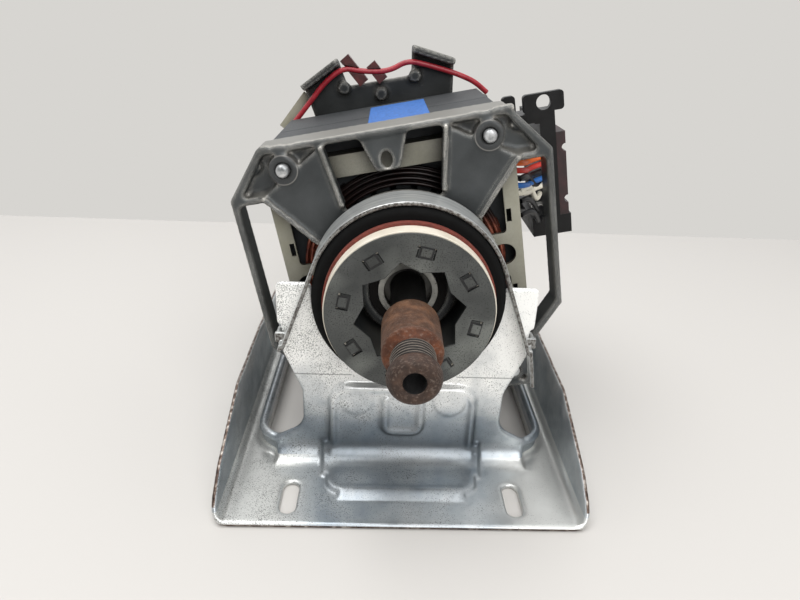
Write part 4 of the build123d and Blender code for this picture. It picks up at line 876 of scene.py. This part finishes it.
def plateRing():
    # plates on a circle round the shaft, each raised from its inner to its outer end
    tree = bpy.data.node_groups.new("plateRing", "GeometryNodeTree")
    for name in ("Reach", "First", "Wide", "Long", "Thick", "Shift", "Near", "Far", "Face", "Outward",
                 "Height"):
        tree.interface.new_socket(name=name, in_out="INPUT", socket_type="NodeSocketFloat")
    tree.interface.new_socket(name="Count", in_out="INPUT", socket_type="NodeSocketInt")
    tree.interface.new_socket(name="Material", in_out="INPUT", socket_type="NodeSocketMaterial")
    tree.interface.new_socket(name="Geometry", in_out="OUTPUT", socket_type="NodeSocketGeometry")
    given = tree.nodes.new("NodeGroupInput").outputs
    # points on the circle
    step = addNode(tree, "ShaderNodeMath", {"operation": "DIVIDE"}, {0: 2 * math.pi, 1: given["Count"]})
    index = addNode(tree, "GeometryNodeInputIndex")
    angle = addNode(tree, "ShaderNodeMath", multiplyAdd, {0: index, 1: step, 2: given["First"]})
    cosine = addNode(tree, "ShaderNodeMath", {"operation": "COSINE"}, {0: angle})
    sine = addNode(tree, "ShaderNodeMath", {"operation": "SINE"}, {0: angle})
    across = addNode(tree, "ShaderNodeMath", multiply, {0: cosine, 1: given["Reach"]})
    up = addNode(tree, "ShaderNodeMath", multiplyAdd, {0: sine, 1: given["Reach"], 2: given["Height"]})
    place = addNode(tree, "ShaderNodeCombineXYZ", {}, {0: across, 1: given["Face"], 2: up})
    points = addNode(tree, "GeometryNodeMeshLine", {}, {"Count": given["Count"]})
    points = addNode(tree, "GeometryNodeSetPosition", {}, {"Geometry": points, "Position": place})
    # one plate, sloped along its width
    size = addNode(tree, "ShaderNodeCombineXYZ", {}, {0: given["Wide"], 1: given["Thick"], 2: given["Long"]})
    plate = addNode(tree, "GeometryNodeMeshCube", {}, {"Size": size})
    at = addNode(tree, "ShaderNodeSeparateXYZ", {}, {0: addNode(tree, "GeometryNodeInputPosition")})
    along = addNode(tree, "ShaderNodeMath", {"operation": "DIVIDE"}, {0: at, 1: given["Wide"]})
    along = addNode(tree, "ShaderNodeMath", {"operation": "ADD"}, {0: along, 1: 0.5})
    slope = addNode(tree, "ShaderNodeMath", subtract, {0: given["Far"], 1: given["Near"]})
    rise = addNode(tree, "ShaderNodeMath", multiplyAdd, {0: along, 1: slope, 2: given["Near"]})
    rise = addNode(tree, "ShaderNodeMath", multiplyAdd, {0: given["Thick"], 1: 0.5, 2: rise})
    rise = addNode(tree, "ShaderNodeMath", multiply, {0: rise, 1: given["Outward"]})
    offset = addNode(tree, "ShaderNodeCombineXYZ", {}, {0: given["Shift"], 1: rise})
    plate = addNode(tree, "GeometryNodeSetPosition", {}, {"Geometry": plate, "Offset": offset})
    # the plates turned to the shaft, joined and dressed
    back = addNode(tree, "ShaderNodeMath", multiply, {0: angle, 1: -1.0})
    turn = addNode(tree, "ShaderNodeCombineXYZ", {}, {1: back})
    ring = addNode(tree, "GeometryNodeInstanceOnPoints", {},
                   {"Points": points, "Instance": plate, "Rotation": turn})
    ring = addNode(tree, "GeometryNodeRealizeInstances", {}, {"Geometry": ring})
    ring = addNode(tree, "GeometryNodeSetMaterial", {}, {"Geometry": ring, "Material": given["Material"]})
    tree.links.new(ring, tree.nodes.new("NodeGroupOutput").inputs["Geometry"])
    return tree


def makePlates(tree, name, material, values):
    rough = bpy.data.objects.new(name + "Rough", bpy.data.meshes.new(name + "Rough"))
    modifier = rough.modifiers.new("plates", "NODES")
    modifier.node_group = tree
    for item in tree.interface.items_tree:
        if item.in_out == "INPUT":
            modifier[item.identifier] = material if item.name == "Material" else values[item.name]
    newPiece(name, bakedMesh(rough), material, "frame")


def makeTongues():
    tree = plateRing()
    look = tongueLook
    for end, face, outward in (("front", discPlane, -1.0), ("rear", 2 * middle - discPlane, 1.0)):
        ring = {"Count": look["count"], "Reach": look["reach"], "First": math.radians(look["first"]),
                "Thick": look["thick"], "Face": face, "Outward": outward, "Height": shaftHeight}
        slots = {"Wide": look["wide"], "Long": look["long"], "Shift": 0.0, "Near": 0.0, "Far": 0.0}
        tongues = {"Wide": look["wide"] * look["wideShare"], "Long": look["long"] * look["longShare"],
                   "Shift": look["wide"] * look["shiftShare"], "Near": look["near"], "Far": look["far"]}
        makePlates(tree, end + "DiscSlotShade", slotShade, {**ring, **slots})
        makePlates(tree, end + "DiscTongues", discZinc, {**ring, **tongues})


makeTongues()
print("stage: disc tongues")


# Camera at the photograph's viewpoint
cameraLook = {"place": (-0.01006, -0.1758, 0.1642), "pitch": 24.72, "yaw": 2.08, "roll": 2.42, "lens": 27.51,
              "sensor": 36}


def makeCamera():
    pitch, yaw, roll = (math.radians(cameraLook[key]) for key in ("pitch", "yaw", "roll"))
    forward = Vector((math.sin(yaw) * math.cos(pitch), math.cos(yaw) * math.cos(pitch), -math.sin(pitch)))
    level = Vector((math.cos(yaw), -math.sin(yaw), 0))
    upward = level.cross(forward)
    right = math.cos(roll) * level + math.sin(roll) * upward
    top = math.cos(roll) * upward - math.sin(roll) * level
    turn = Matrix((right, top, -forward)).transposed()
    data = bpy.data.cameras.new("photoCamera")
    data.lens = cameraLook["lens"]
    data.sensor_width = cameraLook["sensor"]
    data.clip_start = 0.01
    camera = bpy.data.objects.new("photoCamera", data)
    camera.matrix_world = Matrix.Translation(cameraLook["place"]) @ turn.to_4x4()
    bpy.context.scene.collection.objects.link(camera)
    bpy.context.scene.camera = camera


makeCamera()

# Pale table under soft light, in a bright room whose darker side is behind the camera.
# Each light has its place, what it points at, its size and its power
roomLook = {"edge": 0.33, "reach": 3, "floor": "#C3C0BC", "wall": "#D7D5D1", "bright": 1.0, "dark": 0.18,
            "darkSide": (0.0, -0.84, 0.54), "brightEnd": 0.35, "darkFrom": 0.85,
            "lights": {"softTop": ((-0.2, 0.0, 0.95), (0, 0.05, 0.05), 0.8, 6.2),
                       "softFront": ((0.25, -0.9, 0.75), (0, 0.0, 0.05), 1.1, 10.5)}}


def makeFloor():
    reach, edge = roomLook["reach"], roomLook["edge"]
    mesh = bpy.data.meshes.new("floor")
    corners = [(-reach, -reach, 0), (reach, -reach, 0), (reach, edge, 0), (-reach, edge, 0)]
    mesh.from_pydata(corners, [], [(0, 1, 2, 3)])
    floor = bpy.data.objects.new("floor", mesh)
    bpy.context.scene.collection.objects.link(floor)
    material = newMaterial("floorPaint", roughness=0.8)[0]
    shader = material.node_tree.nodes["Principled BSDF"]
    shader.inputs["Base Color"].default_value = srgb(roomLook["floor"])
    mesh.materials.append(material)


def areaLight(name, place, aim, size, power):
    data = bpy.data.lights.new(name, "AREA")
    data.shape = "DISK"
    data.size = size
    data.energy = power
    lamp = bpy.data.objects.new(name, data)
    lamp.location = place
    lamp.rotation_euler = (Vector(aim) - Vector(place)).to_track_quat("-Z", "Y").to_euler()
    bpy.context.scene.collection.objects.link(lamp)


def makeWorld():
    look = roomLook
    world = bpy.data.worlds.new("softRoom")
    world.use_nodes = True
    tree = world.node_tree
    back = tree.nodes["Background"]
    towards = addNode(tree, "ShaderNodeTexCoord", out="Generated")
    side = addNode(tree, "ShaderNodeVectorMath", {"operation": "DOT_PRODUCT"},
                   {0: towards, 1: look["darkSide"]},
                   out="Value")
    level = addNode(tree, "ShaderNodeMapRange", {"interpolation_type": "SMOOTHSTEP"},
                    {"Value": side, "From Min": look["brightEnd"], "From Max": look["darkFrom"],
                     "To Min": look["bright"], "To Max": look["dark"]})
    # the camera sees the plain wall beyond the table's edge, everything else sees the lit room
    seen = addNode(tree, "ShaderNodeLightPath", out="Is Camera Ray")
    level = addNode(tree, "ShaderNodeMix", {}, {0: seen, 2: level, 3: 1.0})
    colour = addNode(tree, "ShaderNodeMix", asColour, {0: seen, 6: "#FFFFFF", 7: look["wall"]}, out=2)
    tree.links.new(level, back.inputs["Strength"])
    tree.links.new(colour, back.inputs["Color"])
    bpy.context.scene.world = world


makeFloor()
for lightName, values in roomLook["lights"].items():
    areaLight(lightName, *values)
makeWorld()
bpy.context.scene.view_settings.view_transform = "Standard"
print("stage: camera and light")
